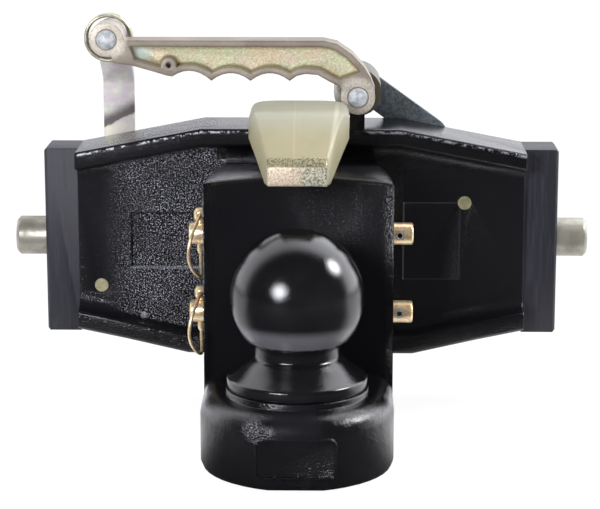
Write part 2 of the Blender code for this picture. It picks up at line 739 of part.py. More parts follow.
def make_hold_down(material):
    """The hold-down, where its side profile, its front outline and its plan all meet."""
    profile = rounded(
        [
            (NOSE_FRONT, nose_low, 0.0015),
            (leg_front, nose_low, 0),
            (leg_front, pivot_pin_height - LEG_DEPTH / 2, LEG_DEPTH * 0.45),
            (leg_rear, pivot_pin_height - LEG_DEPTH / 2, LEG_DEPTH * 0.45),
            (leg_rear, nose_low + HEAD_EDGE, HEAD_EDGE),
            (HEAD_REAR, nose_low + 2.5 * HEAD_EDGE, HEAD_EDGE / 2),
            (HEAD_REAR, crown_height - HEAD_EDGE, 2 * HEAD_EDGE),
            (CROWN_TOP_Y, crown_height, CROWN_RADIUS),
            (CROWN_FRONT, crown_height - CROWN_FALL, CROWN_RADIUS),
            (NOSE_FRONT + HEAD_EDGE, nose_high, 0),
            (NOSE_FRONT, nose_high - NOSE_BEVEL, 0),
        ]
    )
    body = add_object(
        "hold_down", prism(profile, -HOLD_DOWN_HALF_WIDTH - PAST, HOLD_DOWN_HALF_WIDTH + PAST, "x"), material
    )
    half = HOLD_DOWN_HALF_WIDTH
    crown_radius = (half ** 2 + CROWN_DROP ** 2) / (2 * CROWN_DROP)
    reach = math.degrees(math.asin((half - CROWN_CORNER) / crown_radius))
    crown = arc((0, crown_height - crown_radius), crown_radius, 90 - reach, 90 + reach, 8)
    foot = pivot_pin_height - LEG_DEPTH
    right = [
        (LEG_HALF_WIDTH, foot, 0),
        (LEG_HALF_WIDTH, nose_low - SEAT_GAP, 0),
        (NOSE_HALF_WIDTH + NOSE_FLARE, nose_low - SEAT_GAP / 2, 0),
        (half, nose_high + NOSE_HEIGHT / 3, HEAD_EDGE),
        (half, crown_height - CROWN_DROP, CROWN_CORNER),
    ]
    left = [(-x, z, radius) for x, z, radius in reversed(right)]
    outline = rounded(right + [(x, z, 0) for x, z in crown] + left)
    front = prism(outline, -LEG_DEPTH, HEAD_REAR + LEG_DEPTH, "y")
    combine(body, add_object("hold_down_front", front), "INTERSECT")
    plan_right = [
        (NOSE_HALF_WIDTH, 0.0),
        (NOSE_HALF_WIDTH + NOSE_FLARE / 2, NOSE_TAPER_START),
        (half - CHEEK_INSET, NOSE_TAPER_END),
        (half + JOIN, CHEEK_REAR),
        (half + JOIN, HEAD_REAR + LEG_DEPTH),
    ]
    plan_left = [(-x, y) for x, y in reversed(plan_right)]
    plan = prism(plan_right + plan_left, foot - LEG_DEPTH, crown_height + LEG_DEPTH, "z")
    combine(body, add_object("hold_down_plan", plan), "INTERSECT")
    for name, height in (("lock", LOCK_PIN_HEIGHT), ("pivot", pivot_pin_height)):
        place = (-LEG_HALF_WIDTH - PAST, CROSS_PIN_Y, height)
        bore(body, name + "_leg_bore", CROSS_PIN_RADIUS + SEAT_GAP, place, "x", 2 * (LEG_HALF_WIDTH + PAST))


def make_cross_pin(name, height, steel, zinc):
    """A cross pin with a roll pin at its right end and a linch pin with its ring at the left."""
    length = CROSS_PIN_RIGHT - CROSS_PIN_LEFT
    end_radius = CROSS_PIN_RADIUS - CROSS_PIN_EDGE
    profile = [
        (0, 0), (end_radius, 0), (CROSS_PIN_RADIUS, CROSS_PIN_EDGE),
        (CROSS_PIN_RADIUS, length - CROSS_PIN_EDGE), (end_radius, length), (0, length),
    ]
    place = (CROSS_PIN_LEFT, CROSS_PIN_Y, height)
    pin = add_object(name + "_pin", aimed(turned(profile, steps=PIN_STEPS), place, "x"), steel)
    low = (LINCH_X, CROSS_PIN_Y, height - 2 * CROSS_PIN_RADIUS)
    bore(pin, name + "_linch_hole", LINCH_RADIUS + SEAT_GAP, low, "z", 4 * CROSS_PIN_RADIUS, HOLE_STEPS)
    front = (ROLL_PIN_X, CROSS_PIN_Y - 2 * CROSS_PIN_RADIUS, height)
    bore(pin, name + "_roll_hole", ROLL_PIN_RADIUS + SEAT_GAP, front, "y", 4 * CROSS_PIN_RADIUS, HOLE_STEPS)
    roll_front = (ROLL_PIN_X, CROSS_PIN_Y - CROSS_PIN_RADIUS + SEAT_GAP, height)
    roll_bore = ROLL_PIN_RADIUS - ROLL_PIN_WALL
    roll = hollow_bar(roll_bore, ROLL_PIN_RADIUS, roll_front, "y", ROLL_PIN_LENGTH, HOLE_STEPS)
    add_object(name + "_roll_pin", roll, steel)
    hinge_height = height + LINCH_HEAD_OFFSET
    stem_low = height - LINCH_STEM_BELOW
    below = hinge_height - LINCH_HEAD_RADIUS - stem_low
    stem = [
        (0, 0), (LINCH_RADIUS * 0.5, 0), (LINCH_RADIUS, LINCH_RADIUS), (LINCH_RADIUS, below),
        (LINCH_HEAD_RADIUS * 0.8, below + LINCH_HEAD_RADIUS * 0.2),
        (LINCH_HEAD_RADIUS, below + LINCH_HEAD_RADIUS * 0.6),
        (LINCH_HEAD_RADIUS, below + LINCH_HEAD_RADIUS * 1.5),
        (LINCH_HEAD_RADIUS * 0.7, below + LINCH_HEAD_RADIUS * 2),
        (0, below + LINCH_HEAD_RADIUS * 2.15),
    ]
    linch_place = (LINCH_X, CROSS_PIN_Y, stem_low)
    linch = add_object(name + "_linch_pin", aimed(turned(stem, steps=16), linch_place, "z"), zinc)
    side_hole = (LINCH_X, CROSS_PIN_Y - 2 * LINCH_HEAD_RADIUS, hinge_height)
    bore(linch, name + "_ring_hole", RING_WIRE + SEAT_GAP, side_hole, "y", 4 * LINCH_HEAD_RADIUS, 10)
    points = ring_points(hinge_height)
    ring = wire(name + "_linch_ring", points, RING_WIRE, zinc)
    carry(joint_axis(name + "_ring_axis", LINCH_X, CROSS_PIN_Y, hinge_height), ring)


def ring_points(hinge_height):
    """The sprung ring: its two ends turn in into the head, and it bows out past the pin's end."""
    opening = math.asin((LINCH_HEAD_RADIUS + 2 * RING_WIRE) / RING_RADIUS)
    centre = hinge_height - RING_RADIUS * math.cos(opening)
    steps = 22
    loop = []
    for k in range(steps + 1):
        turn = opening + (2 * math.pi - 2 * opening) * k / steps
        bulge = RING_BULGE if math.sin(turn) < 0 else RING_REAR_BULGE
        loop.append(
            (
                LINCH_X - bulge * math.sin(turn) ** 2 * (1 - 0.25 * math.cos(turn)),
                CROSS_PIN_Y + RING_RADIUS * math.sin(turn),
                centre + RING_RADIUS * math.cos(turn),
            )
        )
    inner = LINCH_HEAD_RADIUS * 0.45
    start = (LINCH_X, CROSS_PIN_Y + inner, hinge_height)
    end = (LINCH_X, CROSS_PIN_Y - inner, hinge_height)
    loop[0] = (LINCH_X, loop[0][1] - RING_WIRE * 0.6, hinge_height)
    loop[-1] = (LINCH_X, loop[-1][1] + RING_WIRE * 0.6, hinge_height)
    return [start] + loop + [end]


def make_locking_pin(side, steel):
    """A locking pin with the thin tail that guides it in the rib and carries its spring."""
    name = "left" if side < 0 else "right"
    shoulder = LOCKING_PIN_SHOULDER - TAIL_END
    length = pin_outer - TAIL_END
    profile = [
        (0, 0), (TAIL_RADIUS - CROSS_PIN_EDGE, 0), (TAIL_RADIUS, CROSS_PIN_EDGE), (TAIL_RADIUS, shoulder),
        (LOCKING_PIN_RADIUS, shoulder), (LOCKING_PIN_RADIUS, length - PIN_CHAMFER),
        (LOCKING_PIN_RADIUS - PIN_CHAMFER, length), (0, length),
    ]
    place = (side * TAIL_END, pin_depth, LOCKING_PIN_HEIGHT)
    shape = aimed(turned(profile, steps=32), place, "x" if side > 0 else "-x")
    pin = add_object(name + "_locking_pin", shape, steel)
    carry(joint_axis(name + "_locking_pin_axis", side * guide_half, pin_depth, LOCKING_PIN_HEIGHT), pin)
    return pin


def make_pin_spring(side, material):
    """The spring that pushes a locking pin out, between the rib and the pin's shoulder."""
    start = RIB_INNER + RIB_THICKNESS + PIN_SPRING_WIRE / 2 + SEAT_GAP
    end = LOCKING_PIN_SHOULDER - PIN_SPRING_WIRE / 2 - SEAT_GAP
    steps = 12
    count = PIN_SPRING_TURNS * steps
    points = []
    for k in range(count + 1):
        turn = 2 * math.pi * k / steps
        x = side * (start + (end - start) * k / count)
        y = pin_depth + PIN_SPRING_RADIUS * math.cos(turn)
        points.append((x, y, LOCKING_PIN_HEIGHT + PIN_SPRING_RADIUS * math.sin(turn)))
    name = "left_pin_spring" if side < 0 else "right_pin_spring"
    return wire(name, points, PIN_SPRING_WIRE / 2, material)


def make_pivot_pin(name, radius, start, end, x, z, clip_at, head, material):
    """A pivot pin along Y, with a groove for its clip, and a domed head where it has one."""
    groove = radius - CLIP_GROOVE
    profile = [
        (0, start), (radius, start), (radius, clip_at - SEAT_GAP), (groove, clip_at - SEAT_GAP),
        (groove, clip_at + CLIP_THICKNESS + SEAT_GAP), (radius, clip_at + CLIP_THICKNESS + SEAT_GAP),
        (radius, end - SEAT_GAP), (radius - SEAT_GAP, end), (0, end),
    ]
    if head:
        dome = [
            (HANDLE_PIN_HEAD_RADIUS * math.sin(t), start - HANDLE_PIN_HEAD_HEIGHT * math.cos(t))
            for t in (math.pi / 2 * k / 4 for k in range(5))
        ]
        profile = dome + profile[1:]
    shape = turned(profile, steps=18)
    return add_object(name, aimed(shape, (x, 0, z), "y"), material)


def make_clip(name, radius, x, z, clip_at, material):
    """A retaining clip: an open ring that springs into the pin's groove."""
    inner = radius - CLIP_GROOVE + SEAT_GAP
    outline = arc((x, z), CLIP_RADIUS, -60, 240, 16) + list(reversed(arc((x, z), inner, -60, 240, 14)))
    return add_object(name, prism(outline, clip_at, clip_at + CLIP_THICKNESS, "y"), material)


def plate_washer(name, pin_radius, radius, x, z, low, thickness, material):
    shape = hollow_bar(pin_radius + SEAT_GAP, radius, (x, low, z), "y", thickness, 20)
    return add_object(name, shape, material)


def make_left_lever(material):
    """The left lever: a strip with a joggle, widened below for its pivot and its drive slot."""
    x, z = left_pivot
    left_edge = LEFT_STRIP_X - LEFT_STRIP_WIDTH / 2
    right_edge = LEFT_STRIP_X + LEFT_STRIP_WIDTH / 2
    shoulder = z + LEFT_DRIVE_ARM + LEFT_DRIVE_TRAVEL
    outline = arc((x, z), LEFT_EYE_RADIUS, 180, 330, 9)
    outline += [(right_edge, z + LEFT_DRIVE_ARM), (right_edge, left_grip[1])]
    outline += arc(left_grip, LEFT_STRIP_WIDTH / 2, 0, 180, 9)[1:-1]
    outline += [(left_edge, left_grip[1]), (left_edge, shoulder + LEFT_TAPER_RISE)]
    outline.append((x - LEFT_EYE_RADIUS, shoulder + LEFT_SHOULDER_RISE))
    front = prism(outline, UPPER_EYE_FRONT - PAST, lever_rear + PAST, "y")
    lever = add_object("left_lever", front, material)
    lean = math.hypot(lever_front - UPPER_EYE_FRONT, joggle_high - joggle_low)
    rise = (joggle_high - joggle_low) / lean
    run = (lever_front - UPPER_EYE_FRONT) / lean
    shift = LEVER_THICKNESS * (1 - rise) / run
    outer = JOGGLE_INNER_RADIUS + LEVER_THICKNESS
    side = rounded(
        [
            (lever_front, z - 3 * PAST, 0),
            (lever_rear, z - 3 * PAST, 0),
            (lever_rear, joggle_low + shift, outer),
            (upper_eye_rear, joggle_high + shift, JOGGLE_INNER_RADIUS),
            (upper_eye_rear, left_grip[1] + 2 * PAST, 0),
            (UPPER_EYE_FRONT, left_grip[1] + 2 * PAST, 0),
            (UPPER_EYE_FRONT, joggle_high, outer),
            (lever_front, joggle_low, JOGGLE_INNER_RADIUS),
        ]
    )
    side_form = prism(side, left_edge - 3 * PAST, right_edge + 3 * PAST, "x")
    combine(lever, add_object("left_lever_side", side_form), "INTERSECT")
    pivot = (x, lever_front - PAST, z)
    bore(lever, "left_lever_bore", LEVER_PIVOT_RADIUS + SEAT_GAP, pivot, "y", 3 * PAST, BORE_STEPS)
    grip = (left_grip[0], UPPER_EYE_FRONT - PAST, left_grip[1])
    bore(lever, "left_grip_bore", HANDLE_PIN_RADIUS + SEAT_GAP, grip, "y", 3 * PAST, BORE_STEPS)
    low = (x, z + LEFT_DRIVE_ARM)
    high = (x, z + LEFT_DRIVE_ARM + LEFT_DRIVE_TRAVEL)
    slot = link_outline(low, DRIVE_SLOT_WIDTH / 2, high, DRIVE_SLOT_WIDTH / 2, 8)
    slot_form = prism(slot, lever_front - PAST, lever_rear + PAST, "y")
    combine(lever, add_object("left_drive_slot", slot_form), "DIFFERENCE")
    return lever


def make_right_lever(material):
    """The right lever: a bent plate with the hub drum that the handle's pin swings in."""
    plate = link_outline(arm_start, RIGHT_ARM_HALF_WIDTH, elbow, RIGHT_ARM_HALF_WIDTH + SEAT_GAP)
    lever = add_object("right_lever", prism(plate, lever_front, lever_rear, "y"), material)
    lower_arm = link_outline(elbow, RIGHT_ARM_HALF_WIDTH + SEAT_GAP, right_pivot, RIGHT_EYE_RADIUS)
    combine(lever, add_object("lower_arm_form", prism(lower_arm, lever_front, lever_rear, "y")), "UNION")
    stud_place = (right_pivot[0], right_pivot[1] - RIGHT_DRIVE_ARM)
    lobe = link_outline(right_pivot, RIGHT_EYE_RADIUS - SEAT_GAP, stud_place, RIGHT_DRIVE_LOBE)
    combine(lever, add_object("drive_lobe_form", prism(lobe, lever_front, lever_rear, "y")), "UNION")
    hub_place = (right_grip[0], HUB_FRONT, right_grip[1])
    hub = bar(HUB_RADIUS, hub_place, "y", lever_rear - HUB_FRONT, 32)
    combine(lever, add_object("hub_form", hub), "UNION")
    hub_place = (right_grip[0], HUB_FRONT - PAST, right_grip[1])
    bore(lever, "hub_bore", HUB_BORE_RADIUS, hub_place, "y", lever_rear - HUB_FRONT + 2 * PAST)
    place = (right_pivot[0], lever_front - PAST, right_pivot[1])
    bore(lever, "right_lever_bore", LEVER_PIVOT_RADIUS + SEAT_GAP, place, "y", 3 * PAST, BORE_STEPS)
    place = (stud_place[0], lever_front - PAST, stud_place[1])
    bore(lever, "right_stud_bore", DRIVE_STUD_RADIUS + SEAT_GAP, place, "y", 3 * PAST, BORE_STEPS)
    return lever


def make_drive_pieces(left_pin, right_pin, steel):
    """What couples each lever to its locking pin: a stud in a slot, and a stud in a fork."""
    x, z = left_pivot
    stud_z = z + LEFT_DRIVE_ARM
    bottom = pin_depth - DRIVE_STUD_DEPTH
    bore(
        left_pin, "left_stud_bore", DRIVE_STUD_RADIUS + SEAT_GAP, (x, bottom, stud_z), "y", 3 * PAST,
        BORE_STEPS,
    )
    place = (x, bottom + SEAT_GAP, stud_z)
    length = lever_rear + DRIVE_STUD_END - bottom
    left_stud = add_object("left_drive_stud", bar(DRIVE_STUD_RADIUS, place, "y", length, BORE_STEPS), steel)
    x, z = right_pivot
    stud_z = z - RIGHT_DRIVE_ARM
    place = (x, pin_flat + 2 * SEAT_GAP, stud_z)
    stud = bar(DRIVE_STUD_RADIUS, place, "y", lever_rear - pin_flat, BORE_STEPS)
    right_stud = add_object("right_drive_stud", stud, steel)
    half = DRIVE_SLOT_WIDTH / 2 + FORK_PRONG
    flat = [
        (x - half - SEAT_GAP, stud_z - 2 * FORK_RISE), (x + half + SEAT_GAP, stud_z - 2 * FORK_RISE),
        (x + half + SEAT_GAP, stud_z + 2 * FORK_RISE), (x - half - SEAT_GAP, stud_z + 2 * FORK_RISE),
    ]
    cutter = prism(flat, pin_flat, pin_flat + 2 * PAST, "y")
    combine(right_pin, add_object("pin_flat", cutter), "DIFFERENCE")
    inner = DRIVE_SLOT_WIDTH / 2
    fork_low = LOCKING_PIN_HEIGHT - FORK_DROP
    fork_top = LOCKING_PIN_HEIGHT + FORK_RISE
    slot_low = stud_z - DRIVE_STUD_RADIUS - FORK_CLEARANCE
    fork = [
        (x - half, fork_low), (x + half, fork_low), (x + half, fork_top), (x + inner, fork_top),
        (x + inner, slot_low), (x - inner, slot_low), (x - inner, fork_top), (x - half, fork_top),
    ]
    fork_plate = add_object(
        "right_drive_fork", prism(fork, pin_flat + SEAT_GAP, guide_rear - SLIDE_GAP, "y"), steel
    )
    return left_stud, right_stud, fork_plate


def scallops():
    """The finger grips: hollow curves between ridges of one pitch, the first ridge a little higher."""
    ridges = [(GRIP_RIDGE_START + k * GRIP_RIDGE_PITCH, ridge_height) for k in range(GRIP_SCALLOP_COUNT + 1)]
    ridges[0] = (GRIP_RIDGE_START, ridge_height + FIRST_RIDGE_RISE)
    points = []
    for (x, z), (next_x, next_z) in zip(ridges, ridges[1:]):
        for k in range(7):
            share = k / 7
            rise = GRIP_SCALLOP * 4 * share * (1 - share)
            points.append((x + (next_x - x) * share, z + (next_z - z) * share + rise))
    return points + [ridges[-1]]


def handle_outline():
    """The handle seen from the front, counter-clockwise."""
    left = [(x, handle_top - depth) for x, depth in HANDLE_LEFT_EDGE]
    right = [(x, handle_top - depth) for x, depth in HANDLE_UNDERSIDE + HANDLE_RIGHT_EDGE]
    top = [(HANDLE_TOP_LEFT, handle_top), (left_grip[0], handle_top)]
    return left + scallops() + right + top


def panel_outline(outline):
    """The sunk panel, which keeps one rim from the edge and clear of both bosses."""
    clear = GRIP_BOSS_RADIUS + HANDLE_RIM
    points = []
    for point in inset(outline, HANDLE_RIM):
        from_left = (Vector(point) - Vector(left_grip)).length
        from_right = (Vector(point) - Vector(right_grip)).length
        if from_left > clear and from_right > clear:
            points.append(point)
    return points


def make_handle(material):
    """The cast handle: a scalloped grip with a sunk panel, and a boss at each end."""
    outline = handle_outline()
    handle = add_object("handle", prism(outline, HANDLE_FRONT, handle_rear, "y"), material)
    sunk = prism(panel_outline(outline), HANDLE_FRONT - PAST, HANDLE_FRONT + HANDLE_POCKET_DEPTH, "y")
    combine(handle, add_object("handle_panel", sunk), "DIFFERENCE")
    for name, place, radius in (
        ("left_grip", left_grip, GRIP_BOSS_RADIUS),
        ("right_grip", right_grip, GRIP_BOSS_RADIUS),
        ("spring", spring_boss, SPRING_BOSS_RADIUS),
    ):
        boss = bar(radius, (place[0], HANDLE_FRONT, place[1]), "y", HANDLE_THICKNESS, 24)
        combine(handle, add_object(name + "_boss", boss), "UNION")
    through = HANDLE_THICKNESS + 2 * PAST
    for name, (x, z), radius in (
        ("left_handle", left_grip, HANDLE_PIN_RADIUS + SEAT_GAP),
        ("right_handle", right_grip, HANDLE_PIN_RADIUS + SEAT_GAP),
        ("spring_leg", spring_boss, SPRING_HOLE_RADIUS),
    ):
        bore(handle, name + "_bore", radius, (x, HANDLE_FRONT - PAST, z), "y", through, BORE_STEPS)
    return handle


def make_torsion_spring(material):
    """The coil behind the handle's left boss, with a leg in the handle and one on the lever."""
    x = left_grip[0] + COIL_SHIFT
    z = left_grip[1] - COIL_SAG
    coil_start = handle_rear + COIL_WIRE + SEAT_GAP
    pitch = 2 * COIL_WIRE + SEAT_GAP
    steps = 18
    count = COIL_TURNS * steps + round((360 + COIL_START_ANGLE) * steps / 360)
    coil = []
    for k in range(count + 1):
        turn = math.radians(COIL_START_ANGLE - 360 * k / steps)
        y = coil_start + pitch * k / steps
        coil.append((x + COIL_RADIUS * math.cos(turn), y, z + COIL_RADIUS * math.sin(turn)))
    hole_x, hole_z = spring_boss
    handle_leg = [
        (hole_x, HANDLE_FRONT + HANDLE_POCKET_DEPTH, hole_z),
        (hole_x, handle_rear + SEAT_GAP / 2, hole_z),
        (hole_x - 2 * COIL_WIRE, coil_start, hole_z),
    ]
    hook_x = LEFT_STRIP_X + LEFT_STRIP_WIDTH / 2 + COIL_WIRE + SEAT_GAP
    hook_y = coil[-1][1]
    lever_leg = [
        (hook_x, hook_y, z - HOOK_DROP),
        (hook_x, hook_y + HOOK_BEND, z - HOOK_DROP - HOOK_BEND),
        (hook_x, upper_eye_rear + HOOK_BEND, z - HOOK_DROP - HOOK_BEND),
    ]
    return wire("torsion_spring", handle_leg + coil + lever_leg, COIL_WIRE, material)


def make_handle_fittings(steel, zinc):
    """Pins, bush, washers and clips that join the handle to the two levers."""
    x, z = left_grip
    washer_at = upper_eye_rear + SEAT_GAP
    clip_at = washer_at + PLATE_WASHER_THICKNESS + SEAT_GAP
    end = clip_at + CLIP_THICKNESS + PIN_END
    front = HANDLE_FRONT - SEAT_GAP
    pieces = [
        make_pivot_pin("left_handle_pin", HANDLE_PIN_RADIUS, front, end, x, z, clip_at, True, zinc),
        plate_washer(
            "left_handle_washer", HANDLE_PIN_RADIUS, PLATE_WASHER_RADIUS, x, z, washer_at,
            PLATE_WASHER_THICKNESS, zinc,
        ),
        make_clip("left_handle_clip", HANDLE_PIN_RADIUS, x, z, clip_at, steel),
    ]
    bush_length = UPPER_EYE_FRONT - handle_rear - 2 * SEAT_GAP
    place = (x, handle_rear + SEAT_GAP, z)
    bush = hollow_bar(HANDLE_PIN_RADIUS + SEAT_GAP, HANDLE_BUSH_RADIUS, place, "y", bush_length, 24)
    pieces.append(add_object("handle_bush", bush, steel))
    x, z = right_grip
    washer_at = lever_rear + SEAT_GAP
    clip_at = washer_at + PLATE_WASHER_THICKNESS + SEAT_GAP
    end = clip_at + CLIP_THICKNESS + PIN_END
    front_washer = HUB_FRONT - handle_rear - 2 * SEAT_GAP
    pieces += [
        make_pivot_pin("right_handle_pin", HANDLE_PIN_RADIUS, front, end, x, z, clip_at, True, zinc),
        plate_washer(
            "right_handle_washer", HANDLE_PIN_RADIUS, PLATE_WASHER_RADIUS, x, z, handle_rear + SEAT_GAP,
            front_washer, zinc,
        ),
        plate_washer(
            "right_hub_washer", HANDLE_PIN_RADIUS, HUB_WASHER_RADIUS, x, z, washer_at,
            PLATE_WASHER_THICKNESS, zinc,
        ),
        make_clip("right_handle_clip", HANDLE_PIN_RADIUS, x, z, clip_at, steel),
    ]
    return pieces


def make_lever_pivot(name, place, steel, zinc):
    """The pin that a lever turns on, riveted into the web, with its washer and clip."""
    x, z = place
    washer_at = lever_rear + SEAT_GAP
    clip_at = washer_at + PLATE_WASHER_THICKNESS + SEAT_GAP
    end = clip_at + CLIP_THICKNESS + PIN_END
    make_pivot_pin(name + "_lever_pin", LEVER_PIVOT_RADIUS, WEB_FRONT, end, x, z, clip_at, False, zinc)
    plate_washer(
        name + "_lever_washer", LEVER_PIVOT_RADIUS, PLATE_WASHER_RADIUS, x, z, washer_at,
        PLATE_WASHER_THICKNESS, zinc,
    )
    make_clip(name + "_lever_clip", LEVER_PIVOT_RADIUS, x, z, clip_at, steel)


def build():
    for old in list(bpy.data.objects):
        bpy.data.objects.remove(old)
    black = finish("black_paint", (0.012, 0.013, 0.014), 0.3, 0.0)
    ball_black = finish("ball_black", (0.008, 0.009, 0.011), 0.16, 0.0)
    grey_steel = finish("grey_steel", (0.42, 0.41, 0.39), 0.38, 1.0)
    bright_steel = finish("bright_steel", (0.55, 0.55, 0.54), 0.3, 1.0)
    cream_zinc = finish("cream_zinc", (0.62, 0.58, 0.45), 0.42, 0.9)
    yellow_zinc = finish("yellow_zinc", (0.62, 0.50, 0.22), 0.36, 1.0)
    silver_zinc = finish("silver_zinc", (0.56, 0.57, 0.58), 0.36, 1.0)
    blue_zinc = finish("blue_zinc", (0.33, 0.37, 0.42), 0.4, 1.0)

    make_casting(black)
    make_ball_stud(ball_black, bright_steel)
    make_hold_down(cream_zinc)
    make_cross_pin("lock", LOCK_PIN_HEIGHT, bright_steel, yellow_zinc)
    make_cross_pin("pivot", pivot_pin_height, bright_steel, yellow_zinc)

    left_pin = make_locking_pin(-1, grey_steel)
    right_pin = make_locking_pin(1, grey_steel)
    for side in (-1, 1):
        make_pin_spring(side, bright_steel)
    left_stud, right_stud, fork_plate = make_drive_pieces(left_pin, right_pin, bright_steel)
    carry(left_pin.parent, left_stud)
    carry(right_pin.parent, fork_plate)

    left_axis = joint_axis("left_lever_axis", left_pivot[0], lever_front, left_pivot[1])
    right_axis = joint_axis("right_lever_axis", right_pivot[0], lever_front, right_pivot[1])
    handle_axis = joint_axis("handle_axis", left_grip[0], handle_rear, left_grip[1])
    carry(left_axis, make_left_lever(silver_zinc))
    carry(right_axis, make_right_lever(blue_zinc), right_stud)
    carry(handle_axis, make_handle(yellow_zinc), make_torsion_spring(yellow_zinc))
    carry(handle_axis, *make_handle_fittings(bright_steel, yellow_zinc))
    make_lever_pivot("left", left_pivot, bright_steel, silver_zinc)
    make_lever_pivot("right", right_pivot, bright_steel, silver_zinc)


build()
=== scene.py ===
import json
import math
import bmesh
import bpy
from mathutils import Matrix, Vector


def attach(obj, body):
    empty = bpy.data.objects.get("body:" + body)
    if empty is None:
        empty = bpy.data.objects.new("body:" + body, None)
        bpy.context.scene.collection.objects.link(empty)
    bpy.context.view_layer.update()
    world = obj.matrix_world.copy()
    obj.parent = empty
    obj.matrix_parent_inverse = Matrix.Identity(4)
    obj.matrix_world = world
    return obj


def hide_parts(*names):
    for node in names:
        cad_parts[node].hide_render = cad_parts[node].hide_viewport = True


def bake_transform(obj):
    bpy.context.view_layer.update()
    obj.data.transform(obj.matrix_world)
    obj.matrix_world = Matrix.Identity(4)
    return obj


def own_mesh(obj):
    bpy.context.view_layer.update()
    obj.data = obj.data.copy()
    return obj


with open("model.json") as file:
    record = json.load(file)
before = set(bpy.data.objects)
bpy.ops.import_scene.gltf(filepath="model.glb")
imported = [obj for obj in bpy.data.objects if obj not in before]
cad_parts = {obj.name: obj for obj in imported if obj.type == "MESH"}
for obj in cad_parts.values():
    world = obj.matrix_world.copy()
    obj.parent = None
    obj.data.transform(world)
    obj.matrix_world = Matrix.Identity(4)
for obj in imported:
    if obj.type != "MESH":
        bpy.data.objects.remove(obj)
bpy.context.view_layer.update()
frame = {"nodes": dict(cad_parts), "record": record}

bodyOfNode = {}
for bodyName, members in frame["record"]["behaviour"]["bodies"].items():
    for member in members:
        bodyOfNode[member] = bodyName
slotOfNode = {part["node"]: part["material_slot"] for part in frame["record"]["subparts"]}


class Flow:
    # a shader socket that takes part in arithmetic

    def __init__(self, tree, socket):
        self.tree = tree
        self.socket = socket

    def calc(self, operation, *values):
        node = self.tree.nodes.new("ShaderNodeMath")
        node.operation = operation
        for index, value in enumerate(values):
            if isinstance(value, Flow):
                self.tree.links.new(value.socket, node.inputs[index])
            else:
                node.inputs[index].default_value = value
        return Flow(self.tree, node.outputs[0])

    def __add__(self, other):
        return self.calc("ADD", self, other)

    def __radd__(self, other):
        return self.calc("ADD", other, self)

    def __sub__(self, other):
        return self.calc("SUBTRACT", self, other)

    def __rsub__(self, other):
        return self.calc("SUBTRACT", other, self)

    def __mul__(self, other):
        return self.calc("MULTIPLY", self, other)

    def __rmul__(self, other):
        return self.calc("MULTIPLY", other, self)

    def size(self):
        return self.calc("ABSOLUTE", self)

    def root(self):
        return self.calc("SQRT", self)

    def atLeast(self, low):
        return self.calc("MAXIMUM", self, low)

    def atMost(self, high):
        return self.calc("MINIMUM", self, high)


